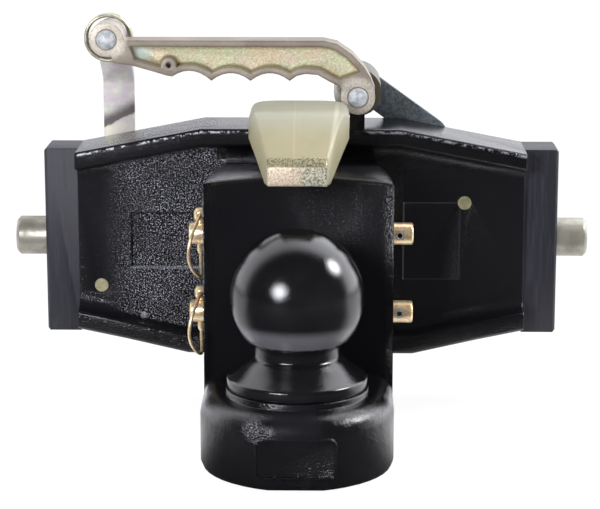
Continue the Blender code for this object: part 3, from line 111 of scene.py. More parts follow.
class Look:
    # one material and the nodes that make it

    def __init__(self, name, tree=None):
        if tree is None:
            self.material = bpy.data.materials.new(name)
            self.material.use_nodes = True
            tree = self.material.node_tree
            self.shader = tree.nodes["Principled BSDF"]
        self.tree = tree

    def add(self, kind, settings=None, sockets=None):
        node = self.tree.nodes.new(kind)
        for key, value in (settings or {}).items():
            if key == "stops":
                self.setStops(node.color_ramp, value)
            else:
                setattr(node, key, value)
        for key, value in (sockets or {}).items():
            if isinstance(value, Flow):
                self.tree.links.new(value.socket, node.inputs[key])
            else:
                node.inputs[key].default_value = value
        return node

    def setStops(self, ramp, stops):
        while len(ramp.elements) < len(stops):
            ramp.elements.new(0.5)
        for element, (place, colour) in zip(ramp.elements, stops):
            element.position = place
            element.color = (*colour, 1)

    def out(self, node, key=0):
        return Flow(self.tree, node.outputs[key])

    def place(self):
        return self.out(self.add("ShaderNodeTexCoord"), "Object")

    def axes(self, letters="xyz"):
        node = self.add("ShaderNodeSeparateXYZ", None, {0: self.place()})
        return [self.out(node, "xyz".index(letter)) for letter in letters]

    def noise(self, scale, detail=2, roughness=0.5, stretch=(1, 1, 1), shift=(0, 0, 0)):
        mapped = self.add(
            "ShaderNodeMapping", None, {"Vector": self.place(), "Scale": stretch, "Location": shift}
        )
        sockets = {"Vector": self.out(mapped), "Scale": scale, "Detail": detail, "Roughness": roughness}
        return self.out(self.add("ShaderNodeTexNoise", None, sockets), 0)

    def cells(self, scale):
        sockets = {"Vector": self.place(), "Scale": scale}
        return self.out(self.add("ShaderNodeTexVoronoi", {"feature": "F1"}, sockets), "Distance")

    def ease(self, value, low, high, first=0, last=1):
        sockets = {"Value": value, "From Min": low, "From Max": high, "To Min": first, "To Max": last}
        return self.out(self.add("ShaderNodeMapRange", {"interpolation_type": "SMOOTHSTEP"}, sockets))

    def fade(self, value, low, high):
        # one below, nothing above
        return 1 - self.ease(value, low, high)

    def within(self, value, rise, fall):
        # one between a rise and a fall, nothing past them
        return self.ease(value, *rise) * self.fade(value, *fall)

    def patches(self, noise, limits):
        return self.ease(self.noise(*noise), *limits)

    def ramp(self, value, stops):
        return self.out(self.add("ShaderNodeValToRGB", {"stops": stops}, {"Fac": value}))

    def mix(self, factor, first, second):
        # colours through a Mix node: a plain tuple is given an alpha
        first = first if isinstance(first, Flow) else (*first, 1)
        second = second if isinstance(second, Flow) else (*second, 1)
        node = self.add("ShaderNodeMix", {"data_type": "RGBA"}, {0: factor, 6: first, 7: second})
        return self.out(node, 2)

    def relief(self, height, distance, strength=1, edge=0):
        # bump over softly rounded edges
        sockets = {"Height": height, "Distance": distance, "Strength": strength}
        if edge:
            bevel = self.add("ShaderNodeBevel", {"samples": 4}, {"Radius": edge})
            sockets["Normal"] = self.out(bevel)
        return self.out(self.add("ShaderNodeBump", None, sockets))

    def edges(self, radius, reach):
        # one on edges and in corners, nothing on the flats
        bevel = self.out(self.add("ShaderNodeBevel", {"samples": 6}, {"Radius": radius}))
        flat = self.out(self.add("ShaderNodeNewGeometry"), "Normal")
        turned = self.add("ShaderNodeVectorMath", {"operation": "DOT_PRODUCT"}, {0: bevel, 1: flat})
        return self.ease(1 - self.out(turned, "Value"), 0, reach)

    def set(self, sockets):
        for key, value in sockets.items():
            if isinstance(value, Flow):
                self.tree.links.new(value.socket, self.shader.inputs[key])
            elif isinstance(value, tuple) and len(value) == 3:
                self.shader.inputs[key].default_value = (*value, 1)
            else:
                self.shader.inputs[key].default_value = value
        return self.material

    def cover(self, factor, top):
        # another shader over this one
        blend = self.add("ShaderNodeMixShader", None, {0: factor})
        self.tree.links.new(self.shader.outputs[0], blend.inputs[1])
        self.tree.links.new(top.outputs[0], blend.inputs[2])
        self.tree.links.new(blend.outputs[0], self.tree.nodes["Material Output"].inputs[0])


castingValues = {
    "black": (0.0030, 0.0028, 0.0034),
    "dust": (0.0070, 0.0070, 0.0085),
    "highlightGrey": (0.340, 0.340, 0.390),
    "glint": (0.30, 0.30, 0.345),
    "topSheen": (0.036, 0.036, 0.042),
    "matt": (0.0045, 0.0045, 0.0058),
    "mattRoughness": 0.6,
    "mattSpecular": 0.08,
    "mostFilm": 0.95,
    "guide": (0.0048, 0.0048, 0.0095),
    "guideLight": (0.0100, 0.0100, 0.0185),
    "guideMark": (0.0020, 0.0020, 0.0035),
    "guideEdge": (0.1427, 0.1433),
    "markAt": 0.1505,
    "markWidth": (0.0012, 0.0036),
    "fine": (800, 2, 0.6),
    "pits": 1040,
    "lumps": (150, 2, 0.5),
    "scuffs": (60, 3, 0.65, (9, 9, 0.7)),
    "brushed": (900, 2, 0.5, (1, 1, 0.08)),
    "patches": ((26, 3, 0.6), (0.36, 0.58)),
    "worn": ((35, 4, 0.65), (0.52, 0.74)),
    "specks": ((1050, 2, 0.7, (1, 1, 1), (0.4, 1.9, 0.8)), (0.53, 0.63)),
    "breaks": ((300, 3, 0.7, (1, 1, 1), (2.2, 0.3, 0.5)), (0.46, 0.58)),
    "marks": ((330, 3, 0.6, (1, 1, 0.16), (0.2, 0.7, 0.1)), (0.52, 0.60)),
    "webDepth": (0.1150, 0.1180),
    "roughWeb": ((-0.130, -0.098), (-0.060, -0.050)),
    "wallDepth": ((0.030, 0.042), (0.098, 0.102)),
    "wallTop": (0.161, 0.164),
    "wallSides": (0.050, 0.057),
    "wallSpot": ((0.016, 0.152), 0.004, 0.020),
    "baseDepth": (0.0, 0.02),
    "baseSpot": ((-0.0240, 0.0360), 0.002, 0.007),
    "baseFilm": ((0.0, 0.0370), 0.010, 0.010),
    "flangeTop": 0.1865,
    "flangeKnee": 0.063,
    "flangeFall": 0.193,
    "underFlange": (0.157, 0.161),
    "lipHeight": (0.145, 0.150),
    "lipBand": ((0.0008, 0.0014), (0.0018, 0.0032)),
    "lipDepth": (0.1062, 0.1070),
    "lipRight": (-0.03, 0.03),
    "cheekTop": ((0.1636, 0.1648), (0.1655, 0.1665)),
    "cheekDepth": (0.090, 0.100),
    "cheekRight": (-0.01, 0.03),
    "faceHeight": (0.150, 0.155),
    "faceDepth": ((0.1010, 0.1030), (0.1064, 0.1072)),
    "faceEnd": (-0.04, 0.0),
    "leftFilmDepth": (0.1080, 0.1100),
    "leftFilmEnd": (-0.124, -0.104),
    "rightFilm": (0.062, 0.068),
    "label": (-0.109, -0.057, 0.094, 0.130),
    "labelLine": 0.0011,
    "table": (0.066, 0.102, 0.087, 0.137),
    "tableLine": 0.0007,
    "relief": (0.00095, 0.9, 0.0011),
}


def spot(look, x, z, centre, radius, soft):
    # one inside a round spot, nothing outside it
    away = ((x - centre[0]) * (x - centre[0]) + (z - centre[1]) * (z - centre[1])).root()
    return look.fade(away, radius, radius + soft)


def panelLines(look, x, z, sides, half):
    # the four edges of a sunk panel, left, right, low and high
    left, right, low, high = sides
    inX = look.within(x, (left - half, left), (right, right + half))
    inZ = look.within(z, (low - half, low), (high, high + half))
    lines = [look.fade((x - place).size(), half * 0.5, half) * inZ for place in (left, right)]
    lines += [look.fade((z - place).size(), half * 0.5, half) * inX for place in (low, high)]
    return lines


def makeCastingLook():
    values = castingValues
    look = Look("castingPaint")
    x, y, z = look.axes()
    guide = look.ease(x.size(), *values["guideEdge"])
    onWeb = look.ease(y, *values["webDepth"])
    onBase = look.fade(y, *values["baseDepth"])
    onWall = look.within(y, *values["wallDepth"]) * look.fade(z, *values["wallTop"])
    wallSpot = spot(look, x, z, *values["wallSpot"]) * onWall
    baseSpot = spot(look, x, z, *values["baseSpot"]) * onBase
    # the left web came out of the sand rougher, with smooth paint on the right one
    leftWeb = look.within(x, *values["roughWeb"]) * onWeb
    patchy = look.patches(*values["patches"])
    fine = look.noise(*values["fine"])
    lumps = look.noise(*values["lumps"])
    pits = look.ease(look.cells(values["pits"]), 0.0, 0.75)
    rough = 0.10 + leftWeb * (0.45 + 0.55 * patchy) + wallSpot * 0.5 + baseSpot * 0.35
    height = (fine * 0.6 + pits * 0.4) * rough * 2.6 + lumps * 0.35
    height = height * (1 - guide) + look.noise(*values["brushed"]) * 0.12 * guide
    worn = look.patches(*values["worn"])
    black = look.mix(worn * 0.5, values["black"], values["dust"])
    specks = look.patches(*values["specks"])
    # painted highlight: grey sparkle specks on the rough left web, the wall's spot and the base's spot
    paintedSparkle = specks * (leftWeb * (0.35 + 0.65 * patchy) + 0.05 * wallSpot + 0.30 * baseSpot)
    black = look.mix(paintedSparkle, black, values["highlightGrey"])
    label = panelLines(look, x, z, values["label"], values["labelLine"])
    # painted shade along the sunk label's left and top edges, painted highlight along its low edge
    black = look.mix((label[0] + label[3] * 0.8) * onWeb, black, values["black"])
    black = look.mix(label[2] * onWeb * (0.25 + 0.75 * specks), black, values["glint"])
    table = panelLines(look, x, z, values["table"], values["tableLine"])
    # painted highlight on the edges of the thin frame on the right web
    tableHighlight = table[0] + table[1] * 0.6 + table[2] * 0.5 + table[3]
    black = look.mix(tableHighlight * onWeb * 0.14, black, values["highlightGrey"])
    # painted highlight: a bright broken line under the upper flange's front edge
    fall = (x.size() - values["flangeKnee"]).atLeast(0)
    below = values["flangeTop"] - values["flangeFall"] * fall - z
    lipHighlight = look.ease(z, *values["lipHeight"]) * look.within(below, *values["lipBand"])
    lipHighlight = lipHighlight * look.fade(y, *values["lipDepth"])
    broken = look.patches(*values["breaks"])
    black = look.mix(lipHighlight * broken * (1 - 0.6 * look.ease(x, *values["lipRight"])), black, values["glint"])
    # painted sheen: the cheeks' tops lighter, less so on the right
    cheekTop = look.within(z, *values["cheekTop"]) * look.fade(y, *values["cheekDepth"])
    black = look.mix(cheekTop * (1 - 0.7 * look.ease(x, *values["cheekRight"])), black, values["topSheen"])
    scuffs = look.noise(*values["scuffs"])
    face = look.mix(look.ease(scuffs, 0.44, 0.66), values["guide"], values["guideLight"])
    marks = look.patches(*values["marks"])
    marks = marks * look.fade((x.size() - values["markAt"]).size(), *values["markWidth"])
    face = look.mix(marks * 0.8, face, values["guideMark"])
    roughness = (0.13 + 0.08 * look.noise(26, 3)) * (1 - guide) + (0.50 + 0.14 * scuffs) * guide
    # thin matt film where the real paint gives nothing back: wall, base, flange, left and right web
    underFlange = look.fade(z, *values["underFlange"])
    onFlange = look.ease(z, *values["faceHeight"]) * look.within(y, *values["faceDepth"])
    leftFilm = look.ease(y, *values["leftFilmDepth"]) * look.fade(x, *values["leftFilmEnd"])
    rightFilm = look.ease(x, *values["rightFilm"]) * onWeb
    film = onWall * look.fade(x.size(), *values["wallSides"]) * (0.93 - 0.45 * specks * wallSpot)
    film = film + spot(look, x, z, *values["baseFilm"]) * onBase * 0.9
    film = film + onFlange * look.fade(x, *values["faceEnd"]) * (1 - lipHighlight * broken) * 0.85
    film = film + underFlange * leftFilm * (1 - guide) * (1 - 0.6 * specks) * 0.93
    film = film + underFlange * rightFilm * (1 - guide) * 0.75
    matt = look.add("ShaderNodeBsdfPrincipled", None, {
        "Base Color": (*values["matt"], 1), "Roughness": values["mattRoughness"],
        "Specular IOR Level": values["mattSpecular"],
    })
    look.cover(film.atMost(values["mostFilm"]), matt)
    return look.set({
        "Base Color": look.mix(guide, black, face),
        "Roughness": roughness,
        "Normal": look.relief(height, *values["relief"]),
    })


ballValues = {
    "black": (0.0034, 0.0034, 0.0038),
    "film": (0.0065, 0.0065, 0.0070),
    "under": (0.055, 0.055, 0.061),
    "underHeight": ((0.0765, 0.0785), (0.0855, 0.0925)),
    "roughness": 0.115,
    "relief": (0.00013, 0.8),
}


def makeBallLook():
    values = ballValues
    look = Look("ballPaint")
    film = look.patches((30, 4, 0.6), (0.45, 0.75))
    # painted reflection: a grey belt low on the ball
    under = look.within(look.axes("z")[0], *values["underHeight"])
    height = look.noise(420, 2, 0.5) * 0.25 + look.noise(1500, 1) * 0.75
    black = look.mix(film, values["black"], values["film"])
    return look.set({
        "Base Color": look.mix(under, black, values["under"]),
        "Roughness": values["roughness"] + 0.05 * film,
        "Normal": look.relief(height, *values["relief"]),
    })


steelValues = {
    "pinSteel": {
        "dark": (0.11, 0.102, 0.080),
        "light": (0.26, 0.25, 0.21),
        "roughness": 0.30,
        "stretch": (2600, 60, 60),
        "edge": 0.0006,
    },
    "brightSteel": {
        "dark": (0.30, 0.30, 0.29),
        "light": (0.60, 0.60, 0.59),
        "roughness": 0.26,
        "stretch": (60, 2600, 60),
        "edge": 0.0004,
    },
}


def makeSteelLook(name):
    # turned or drawn steel: fine marks across the piece's length
    values = steelValues[name]
    look = Look(name)
    marks = look.noise(1, 3, 0.6, values["stretch"])
    stains = look.patches((70, 4, 0.6), (0.42, 0.7))
    return look.set({
        "Base Color": look.mix(stains * 0.6 + marks * 0.25, values["light"], values["dark"]),
        "Roughness": values["roughness"] + 0.16 * stains + 0.08 * marks,
        "Metallic": 0.6,
        "Normal": look.relief(marks, 0.00005, 0.7, values["edge"]),
    })


handleLookValues = {
    "rim": (0.115, 0.090, 0.070),
    "rimPale": (0.185, 0.155, 0.120),
    "rimEdgeShade": (0.12, 0.090, 0.068),
    "rimShine": (0.40, 0.365, 0.315),
    "loop": (0.40, 0.365, 0.315),
    "loopInside": 0.0105,
    "loopSoft": 0.004,
    "pitAndGapShade": (0.11, 0.085, 0.065),
    "panel": (0.42, 0.36, 0.22),
    "panelPink": (0.45, 0.31, 0.27),
    "panelGreen": (0.36, 0.39, 0.24),
    "panelCold": (0.46, 0.54, 0.52),
    "panelPale": (0.56, 0.54, 0.40),
    "coldEnd": (-0.101, -0.090),
    "olive": (0.22, 0.18, 0.07),
    "drift": (38, 3, 0.6),
    "grain": (750, 3, 0.65),
    "tint": (620, 2, 0.6, (1, 1, 1), (0.7, 2.3, 1.1)),
    "patches": ((85, 3, 0.55, (1, 1, 1), (3.1, 0.4, 1.7)), (0.50, 0.68)),
    "corner": (0.0021, 0.20),
    "pins": ((-0.1206, 0.2442), (0.0361, 0.2084)),
    "gapInside": 0.0054,
    "gapInsideSoft": 0.0004,
    "gapOutside": 0.0066,
    "gapOutsideSoft": 0.0005,
    "relief": (0.00040, 0.8, 0.0019),
}


def makeHandleLook():
    values = handleLookValues
    look = Look("handleZinc")
    x, z = look.axes("xz")
    sunk = look.out(look.add("ShaderNodeAttribute", {"attribute_name": "sunk"}), "Fac")
    wall = look.out(look.add("ShaderNodeAttribute", {"attribute_name": "fillet"}), "Fac")
    drift = look.noise(*values["drift"])
    grain = look.noise(*values["grain"])
    tint = look.noise(*values["tint"])
    rim = look.mix(look.ease(drift, 0.35, 0.68), values["rim"], values["rimPale"])
    rim = look.mix(look.ease(grain, 0.50, 0.70) * 0.5, rim, values["pitAndGapShade"])
    panel = look.mix(look.ease(drift, 0.40, 0.62), values["panel"], values["panelGreen"])
    panel = look.mix(look.patches(*values["patches"]) * 0.5, panel, values["panelPink"])
    panel = look.mix(look.ease(tint, 0.50, 0.62) * 0.6, panel, values["panelPink"])
    panel = look.mix(look.ease(grain, 0.50, 0.36) * 0.6, panel, values["panelPale"])
    panel = look.mix(look.ease(grain, 0.52, 0.66) * 0.45, panel, values["olive"])
    panel = look.mix(look.fade(x, *values["coldEnd"]) * 0.8, panel, values["panelCold"])
    # painted shade on the panel's fillet by the rim
    panel = look.mix(look.ease(wall, 0.15, 0.95) * 0.85, panel, values["olive"])
    # painted highlight along the rim's flats, painted shade on the rim's rounded edges and in the panel's
    # corners
    corner = look.edges(*values["corner"])
    rim = look.mix(look.fade(corner, 0.02, 0.30) * 0.15, rim, values["rimShine"])
    rim = look.mix(look.ease(corner, 0.35, 1.0) * 0.75, rim, values["rimEdgeShade"])
    panel = look.mix(look.ease(corner, 0.1, 0.9) * 0.6, panel, values["olive"])
    colour = look.mix(sunk, rim, panel)
    for centre in values["pins"]:
        loop = spot(look, x, z, centre, values["loopInside"], values["loopSoft"])
        colour = look.mix(loop * (0.45 + 0.40 * look.ease(grain, 0.62, 0.44)), colour, values["loop"])
        # painted shade in the gap round the pin's head
        inner = spot(look, x, z, centre, values["gapInside"], values["gapInsideSoft"])
        outer = spot(look, x, z, centre, values["gapOutside"], values["gapOutsideSoft"])
        colour = look.mix((outer - inner) * 0.8, colour, values["pitAndGapShade"])
    height = grain * (0.35 + 0.25 * sunk) + tint * 0.2
    return look.set({
        "Base Color": colour,
        "Roughness": 0.40 + 0.10 * sunk + 0.10 * grain,
        "Metallic": 0.35,
        "Normal": look.relief(height, *values["relief"]),
    })


holdDownValues = {
    "cream": (0.252, 0.228, 0.142),
    "khaki": (0.222, 0.204, 0.120),
    "pink": (0.272, 0.228, 0.154),
    "crown": (0.245, 0.242, 0.192),
    "sheen": (0.56, 0.53, 0.43),
    "noseDark": (0.13, 0.115, 0.065),
    "noseKhaki": (0.34, 0.31, 0.20),
    "noseBright": (0.60, 0.55, 0.40),
    "nosePink": (0.54, 0.35, 0.31),
    "noseBlue": (0.22, 0.25, 0.25),
    "noseDepth": (0.0136, 0.0122),
    "noseTop": (0.1790, 0.1802),
    "noseRight": (-0.001, 0.006),
    "crownHeight": (0.1935, 0.2040),
    "foldAt": 0.0168,
    "foldHeight": 0.172,
    "foldLean": 0.18,
    "foldWidth": (0.0003, 0.0022),
    "seams": (-0.0022, 0.0032),
    "seamWidth": (0.0002, 0.0008),
    "drift": ((26, 4, 0.6), (0.38, 0.66)),
    "pinkPatches": ((60, 3), (0.52, 0.75)),
    "grain": (700, 3, 0.6),
    "sparkle": (950, 2, 0.6, (1, 1, 1), (0.3, 0.9, 2.1)),
    "tints": ((620, 3, 0.7, (1, 1, 1), (1.7, 0, 0.6)), (0.44, 0.60)),
    "relief": (0.00045, 0.8, 0.0026),
}


def makeHoldDownLook():
    values = holdDownValues
    look = Look("holdDownZinc")
    x, y, z = look.axes()
    nose = look.ease(y, *values["noseDepth"])
    faceOn = nose * look.fade(z, *values["noseTop"])
    grain = look.noise(*values["grain"])
    sparkle = look.noise(*values["sparkle"])
    colour = look.mix(look.patches(*values["drift"]), values["cream"], values["khaki"])
    colour = look.mix(look.patches(*values["pinkPatches"]) * 0.4, colour, values["pink"])
    # painted shade: the nose's upper bevel darker, speckled with khaki
    paintedShadeBand = look.mix(look.ease(sparkle, 0.40, 0.60), values["noseDark"], values["noseKhaki"])
    # painted sparkle on the nose's front face: bright, warm on the left, cold on the right, with darker
    # specks more on the right
    tints = look.patches(*values["tints"])
    warm = look.mix(tints, values["noseBright"], values["nosePink"])
    cold = look.mix(tints, values["noseBright"], values["noseBlue"])
    shine = look.mix(look.ease(x, *values["noseRight"]), warm, cold)
    darker = look.ease(sparkle, 0.52, 0.62) * (0.55 + 0.35 * look.ease(x, 0, 0.006))
    shine = look.mix(darker, shine, values["noseDark"])
    colour = look.mix(look.ease(z, *values["crownHeight"]) * 0.8, colour, values["crown"])
    fold = (x - values["foldAt"] - values["foldLean"] * (z - values["foldHeight"])).size()
    colour = look.mix(look.fade(fold, *values["foldWidth"]) * 0.25, colour, values["sheen"])
    colour = look.mix(nose, colour, paintedShadeBand)
    colour = look.mix(faceOn, colour, shine)
    seams = [look.fade((x - place).size(), *values["seamWidth"]) for place in values["seams"]]
    colour = look.mix(seams[0] * 0.35, colour, values["noseKhaki"])
    height = (grain * 0.14 + sparkle * 0.10) * (0.4 + 3.2 * nose) + (seams[1] - seams[0]) * 0.10
    return look.set({
        "Base Color": colour,
        "Roughness": 0.42 + 0.10 * grain - 0.14 * nose,
        "Metallic": 0.28 + 0.25 * nose,
        "Normal": look.relief(height, *values["relief"]),
    })


yellowValues = {
    "gold": (0.74, 0.55, 0.24),
    "pale": (0.82, 0.72, 0.46),
    "pink": (0.70, 0.44, 0.28),
    "green": (0.55, 0.52, 0.26),
}


def makeYellowZincLook():
    values = yellowValues
    look = Look("yellowZinc")
    stops = zip((0.34, 0.45, 0.56, 0.68), (values[name] for name in ("gold", "pale", "pink", "green")))
    grain = look.noise(1600, 2)
    return look.set({
        "Base Color": look.ramp(look.noise(240, 3, 0.6), list(stops)),
        "Roughness": 0.24 + 0.12 * grain,
        "Metallic": 0.75,
        "Normal": look.relief(grain, 0.00005, 0.7, 0.0003),
    })


coilValues = {"dark": (0.24, 0.22, 0.15), "pale": (0.42, 0.40, 0.31)}


def makeCoilLook():
    look = Look("coilZinc")
    drift = look.noise(160, 3, 0.6)
    return look.set({
        "Base Color": look.mix(look.ease(drift, 0.40, 0.62), coilValues["dark"], coilValues["pale"]),
        "Roughness": 0.30 + 0.14 * drift,
        "Metallic": 0.7,
        "Normal": look.relief(look.noise(1500, 2), 0.00004, 0.7),
    })


pinHeadValues = {"dark": (0.23, 0.245, 0.26), "pale": (0.38, 0.39, 0.40)}


def makePinHeadLook():
    look = Look("pinHeadZinc")
    stains = look.noise(260, 3, 0.6)
    colour = look.mix(look.ease(stains, 0.40, 0.64), pinHeadValues["dark"], pinHeadValues["pale"])
    return look.set({
        "Base Color": colour,
        "Roughness": 0.46 + 0.12 * stains,
        "Metallic": 0.30,
        "Normal": look.relief(look.noise(700, 2), 0.00010, 0.7, 0.0004),
    })


stripValues = {
    "silver": (0.42, 0.42, 0.41),
    "warm": (0.53, 0.49, 0.40),
    "pink": (0.42, 0.35, 0.38),
    "green": (0.41, 0.44, 0.38),
    "dark": (0.042, 0.034, 0.030),
    "bandHeight": 0.1885,
    "bandFrom": 0.1194,
    "bandLean": 0.50,
    "bandEdges": ((-0.0048, -0.0034), (-0.0010, 0.0080)),
    "ragged": 0.004,
    "footHeight": (0.1795, 0.1850),
    "marks": (1, 3, 0.6, (180, 400, 1400)),
    "relief": (0.00005, 0.8, 0.0006),
}


def makeStripLook():
    values = stripValues
    look = Look("stripZinc")
    x, z = look.axes("xz")
    stops = zip((0.34, 0.46, 0.56, 0.64), (values[name] for name in ("warm", "silver", "pink", "green")))
    colour = look.ramp(look.noise(90, 4, 0.6), list(stops))
    across = z - values["bandHeight"] - (x + values["bandFrom"]) * values["bandLean"]
    ragged = across + (look.noise(160, 3) - 0.5) * values["ragged"]
    # painted shade: a dark band across the strip's bend, sharp along its lower side, fading out above
    paintedShadeBand = look.within(ragged, *values["bandEdges"])
    foot = look.fade(z, *values["footHeight"])
    marks = look.noise(*values["marks"])
    colour = look.mix(foot * 0.6, colour, values["warm"])
    colour = look.mix(paintedShadeBand * 0.88, colour, values["dark"])
    return look.set({
        "Base Color": colour,
        "Roughness": 0.36 + 0.12 * marks + 0.10 * paintedShadeBand,
        "Metallic": 0.35,
        "Normal": look.relief(marks, *values["relief"]),
    })


armValues = {
    "blue": (0.105, 0.125, 0.140),
    "grey": (0.052, 0.060, 0.070),
    "tan": (0.110, 0.100, 0.075),
    "hub": (0.070, 0.062, 0.040),
    "hubPale": (0.30, 0.29, 0.26),
    "hubDepth": (0.1515, 0.1545),
    "hubSide": (0.0210, 0.0301),
    "relief": (0.00012, 0.8, 0.0006),
}


def makeArmLook():
    values = armValues
    look = Look("armZinc")
    x, y = look.axes("xy")
    hub = look.fade(y, *values["hubDepth"])
    highlightGrey = look.noise(640, 3, 0.7)
    colour = look.mix(look.ease(highlightGrey, 0.40, 0.64), values["grey"], values["blue"])
    colour = look.mix(look.patches((90, 3), (0.52, 0.72)) * 0.6, colour, values["tan"])
    drum = look.mix(look.fade(x, *values["hubSide"]) * 0.9, values["hub"], values["hubPale"])
    return look.set({
        "Base Color": look.mix(hub, colour, drum),
        "Roughness": 0.42 + 0.14 * highlightGrey - 0.08 * hub,
        "Metallic": 0.40,
        "Normal": look.relief(highlightGrey * 0.4 + look.noise(1200, 2) * 0.3, *values["relief"]),
    })


rivetValues = {"pale": (0.27, 0.25, 0.15), "dark": (0.17, 0.158, 0.085)}


def makeRivetLook():
    look = Look("rivetZinc")
    grain = look.noise(900, 3, 0.6)
    drift = look.patches((190, 3), (0.4, 0.65))
    return look.set({
        "Base Color": look.mix(drift, rivetValues["pale"], rivetValues["dark"]),
        "Roughness": 0.38 + 0.14 * grain,
        "Metallic": 0.40,
        "Normal": look.relief(grain, 0.00016, 0.7, 0.0005),
    })


print("materials")
looks = {
    "casting_paint": makeCastingLook(),
    "ball_paint": makeBallLook(),
    "cream_zinc": makeHoldDownLook(),
    "yellow_zinc": makeHandleLook(),
    "yellow_zinc_steel": makeYellowZincLook(),
    "silver_zinc": makeStripLook(),
    "blue_zinc": makeArmLook(),
    "pin_steel": makeSteelLook("pinSteel"),
    "bright_steel": makeSteelLook("brightSteel"),
}
rivetLook = makeRivetLook()
pinHeadLook = makePinHeadLook()
coilLook = makeCoilLook()


def addPiece(name, shape, node, look=None, smoothAngle=34, rides=True):
    # finish a bmesh as the piece that stands for a node
    mesh = bpy.data.meshes.new(name)
    shape.to_mesh(mesh)
    shape.free()
    mesh.shade_smooth()
    mesh.set_sharp_from_angle(angle=math.radians(smoothAngle))
    mesh.materials.append(look or looks[slotOfNode[node]])
    piece = bpy.data.objects.new(name, mesh)
    bpy.context.scene.collection.objects.link(piece)
    if rides:
        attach(piece, bodyOfNode[node])
    return piece


def copyOf(node):
    shape = bmesh.new()
    shape.from_mesh(frame["nodes"][node].data)
    bmesh.ops.remove_doubles(shape, verts=shape.verts, dist=2e-6)
    bmesh.ops.dissolve_limit(
        shape, angle_limit=math.radians(0.5), verts=shape.verts, edges=shape.edges, delimit={"NORMAL"}
    )
    return shape


def softened(node, width, segments=2, sharpAngle=40, look=None, smoothAngle=34):
    # the node's own form with its edges rounded
    shape = copyOf(node)
    sharp = [
        edge for edge in shape.edges
        if len(edge.link_faces) == 2 and edge.calc_face_angle(0) > math.radians(sharpAngle)
    ]
    bmesh.ops.bevel(
        shape, geom=sharp, offset=width, segments=segments, affect="EDGES", profile=0.5, material=-1,
        clamp_overlap=True,
    )
    piece = addPiece(node + "_dressed", shape, node, look, smoothAngle)
    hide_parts(node)
    return piece


def turnedShape(profile, steps):
    shape = bmesh.new()
    points = [shape.verts.new((radius, 0, height)) for radius, height in profile]
    edges = [shape.edges.new(pair) for pair in zip(points, points[1:])]
    bmesh.ops.spin(
        shape, geom=points + edges, cent=(0, 0, 0), axis=(0, 0, 1), angle=2 * math.pi, steps=steps,
        use_merge=True,
    )
    bmesh.ops.remove_doubles(shape, verts=shape.verts, dist=1e-6)
    bmesh.ops.recalc_face_normals(shape, faces=shape.faces)
    return shape


ballStud = {
    "radius": 0.040,
    "height": 0.104,
    "flatRadius": 0.01075,
    "flatEdge": 0.0005,
    "flatTurn": 0.006,
    "neckTop": 0.0304,
    "neck": 0.0256,
    "neckHeight": 0.069,
    "coneTop": 0.0268,
    "coneStep": 0.0008,
    "coneHeight": 0.0022,
    "coneHollow": 0.0007,
    "flange": 0.042,
    "flangeLow": 0.0493,
    "flangeHigh": 0.0563,
    "shank": 0.015,
    "ballSteps": 48,
    "neckSteps": 12,
    "coneSteps": 10,
    "steps": 128,
}


def buildBallStud():
    values = ballStud
    ball, middle = values["radius"], values["height"]
    first = math.asin(values["flatRadius"] / ball)
    last = math.pi - math.asin(values["neckTop"] / ball)
    profile = [(0, middle + ball * math.cos(first))]
    profile.append((values["flatRadius"] - values["flatEdge"], profile[0][1]))
    begin = first + values["flatTurn"]
    for step in range(values["ballSteps"] + 1):
        turn = begin + (last - first - values["flatTurn"]) * step / values["ballSteps"]
        profile.append((ball * math.sin(turn), middle + ball * math.cos(turn)))
    ballLow = profile[-1][1]
    # waisted neck
    for step in range(1, values["neckSteps"] + 1):
        turn = math.pi / 2 * step / values["neckSteps"]
        radius = values["neck"] + (values["neckTop"] - values["neck"]) * (1 - math.sin(turn))
        profile.append((radius, ballLow - (ballLow - values["neckHeight"]) * (1 - math.cos(turn))))
    profile += [
        (values["neck"] + 0.0003, values["neckHeight"] - 0.0008),
        (values["coneTop"], values["neckHeight"] - 0.0017),
        (values["coneTop"] + values["coneStep"], values["neckHeight"] - values["coneHeight"]),
    ]
    # slightly hollow cone
    top = values["neckHeight"] - values["coneHeight"]
    foot = (values["flange"] - 0.0011, values["flangeHigh"])
    for step in range(1, values["coneSteps"] + 1):
        share = step / values["coneSteps"]
        radius = values["coneTop"] + values["coneStep"]
        radius += (foot[0] - values["coneTop"] - values["coneStep"]) * share
        height = top + (foot[1] - top) * share - values["coneHollow"] * math.sin(math.pi * share)
        profile.append((radius, height))
    profile += [
        (values["flange"] - 0.0003, values["flangeHigh"] - 0.0006),
        (values["flange"], values["flangeHigh"] - 0.0014),
        (values["flange"], values["flangeLow"] + 0.0010),
        (values["flange"] - 0.0003, values["flangeLow"] + 0.0003),
        (values["flange"] - 0.0010, values["flangeLow"]),
        (values["shank"], values["flangeLow"]),
        (values["shank"], 0.0008),
        (values["shank"] - 0.0008, 0),
        (0, 0),
    ]
    piece = addPiece("ballStud", turnedShape(profile, values["steps"]), "ball_stud", None, 50)
    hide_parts("ball_stud")


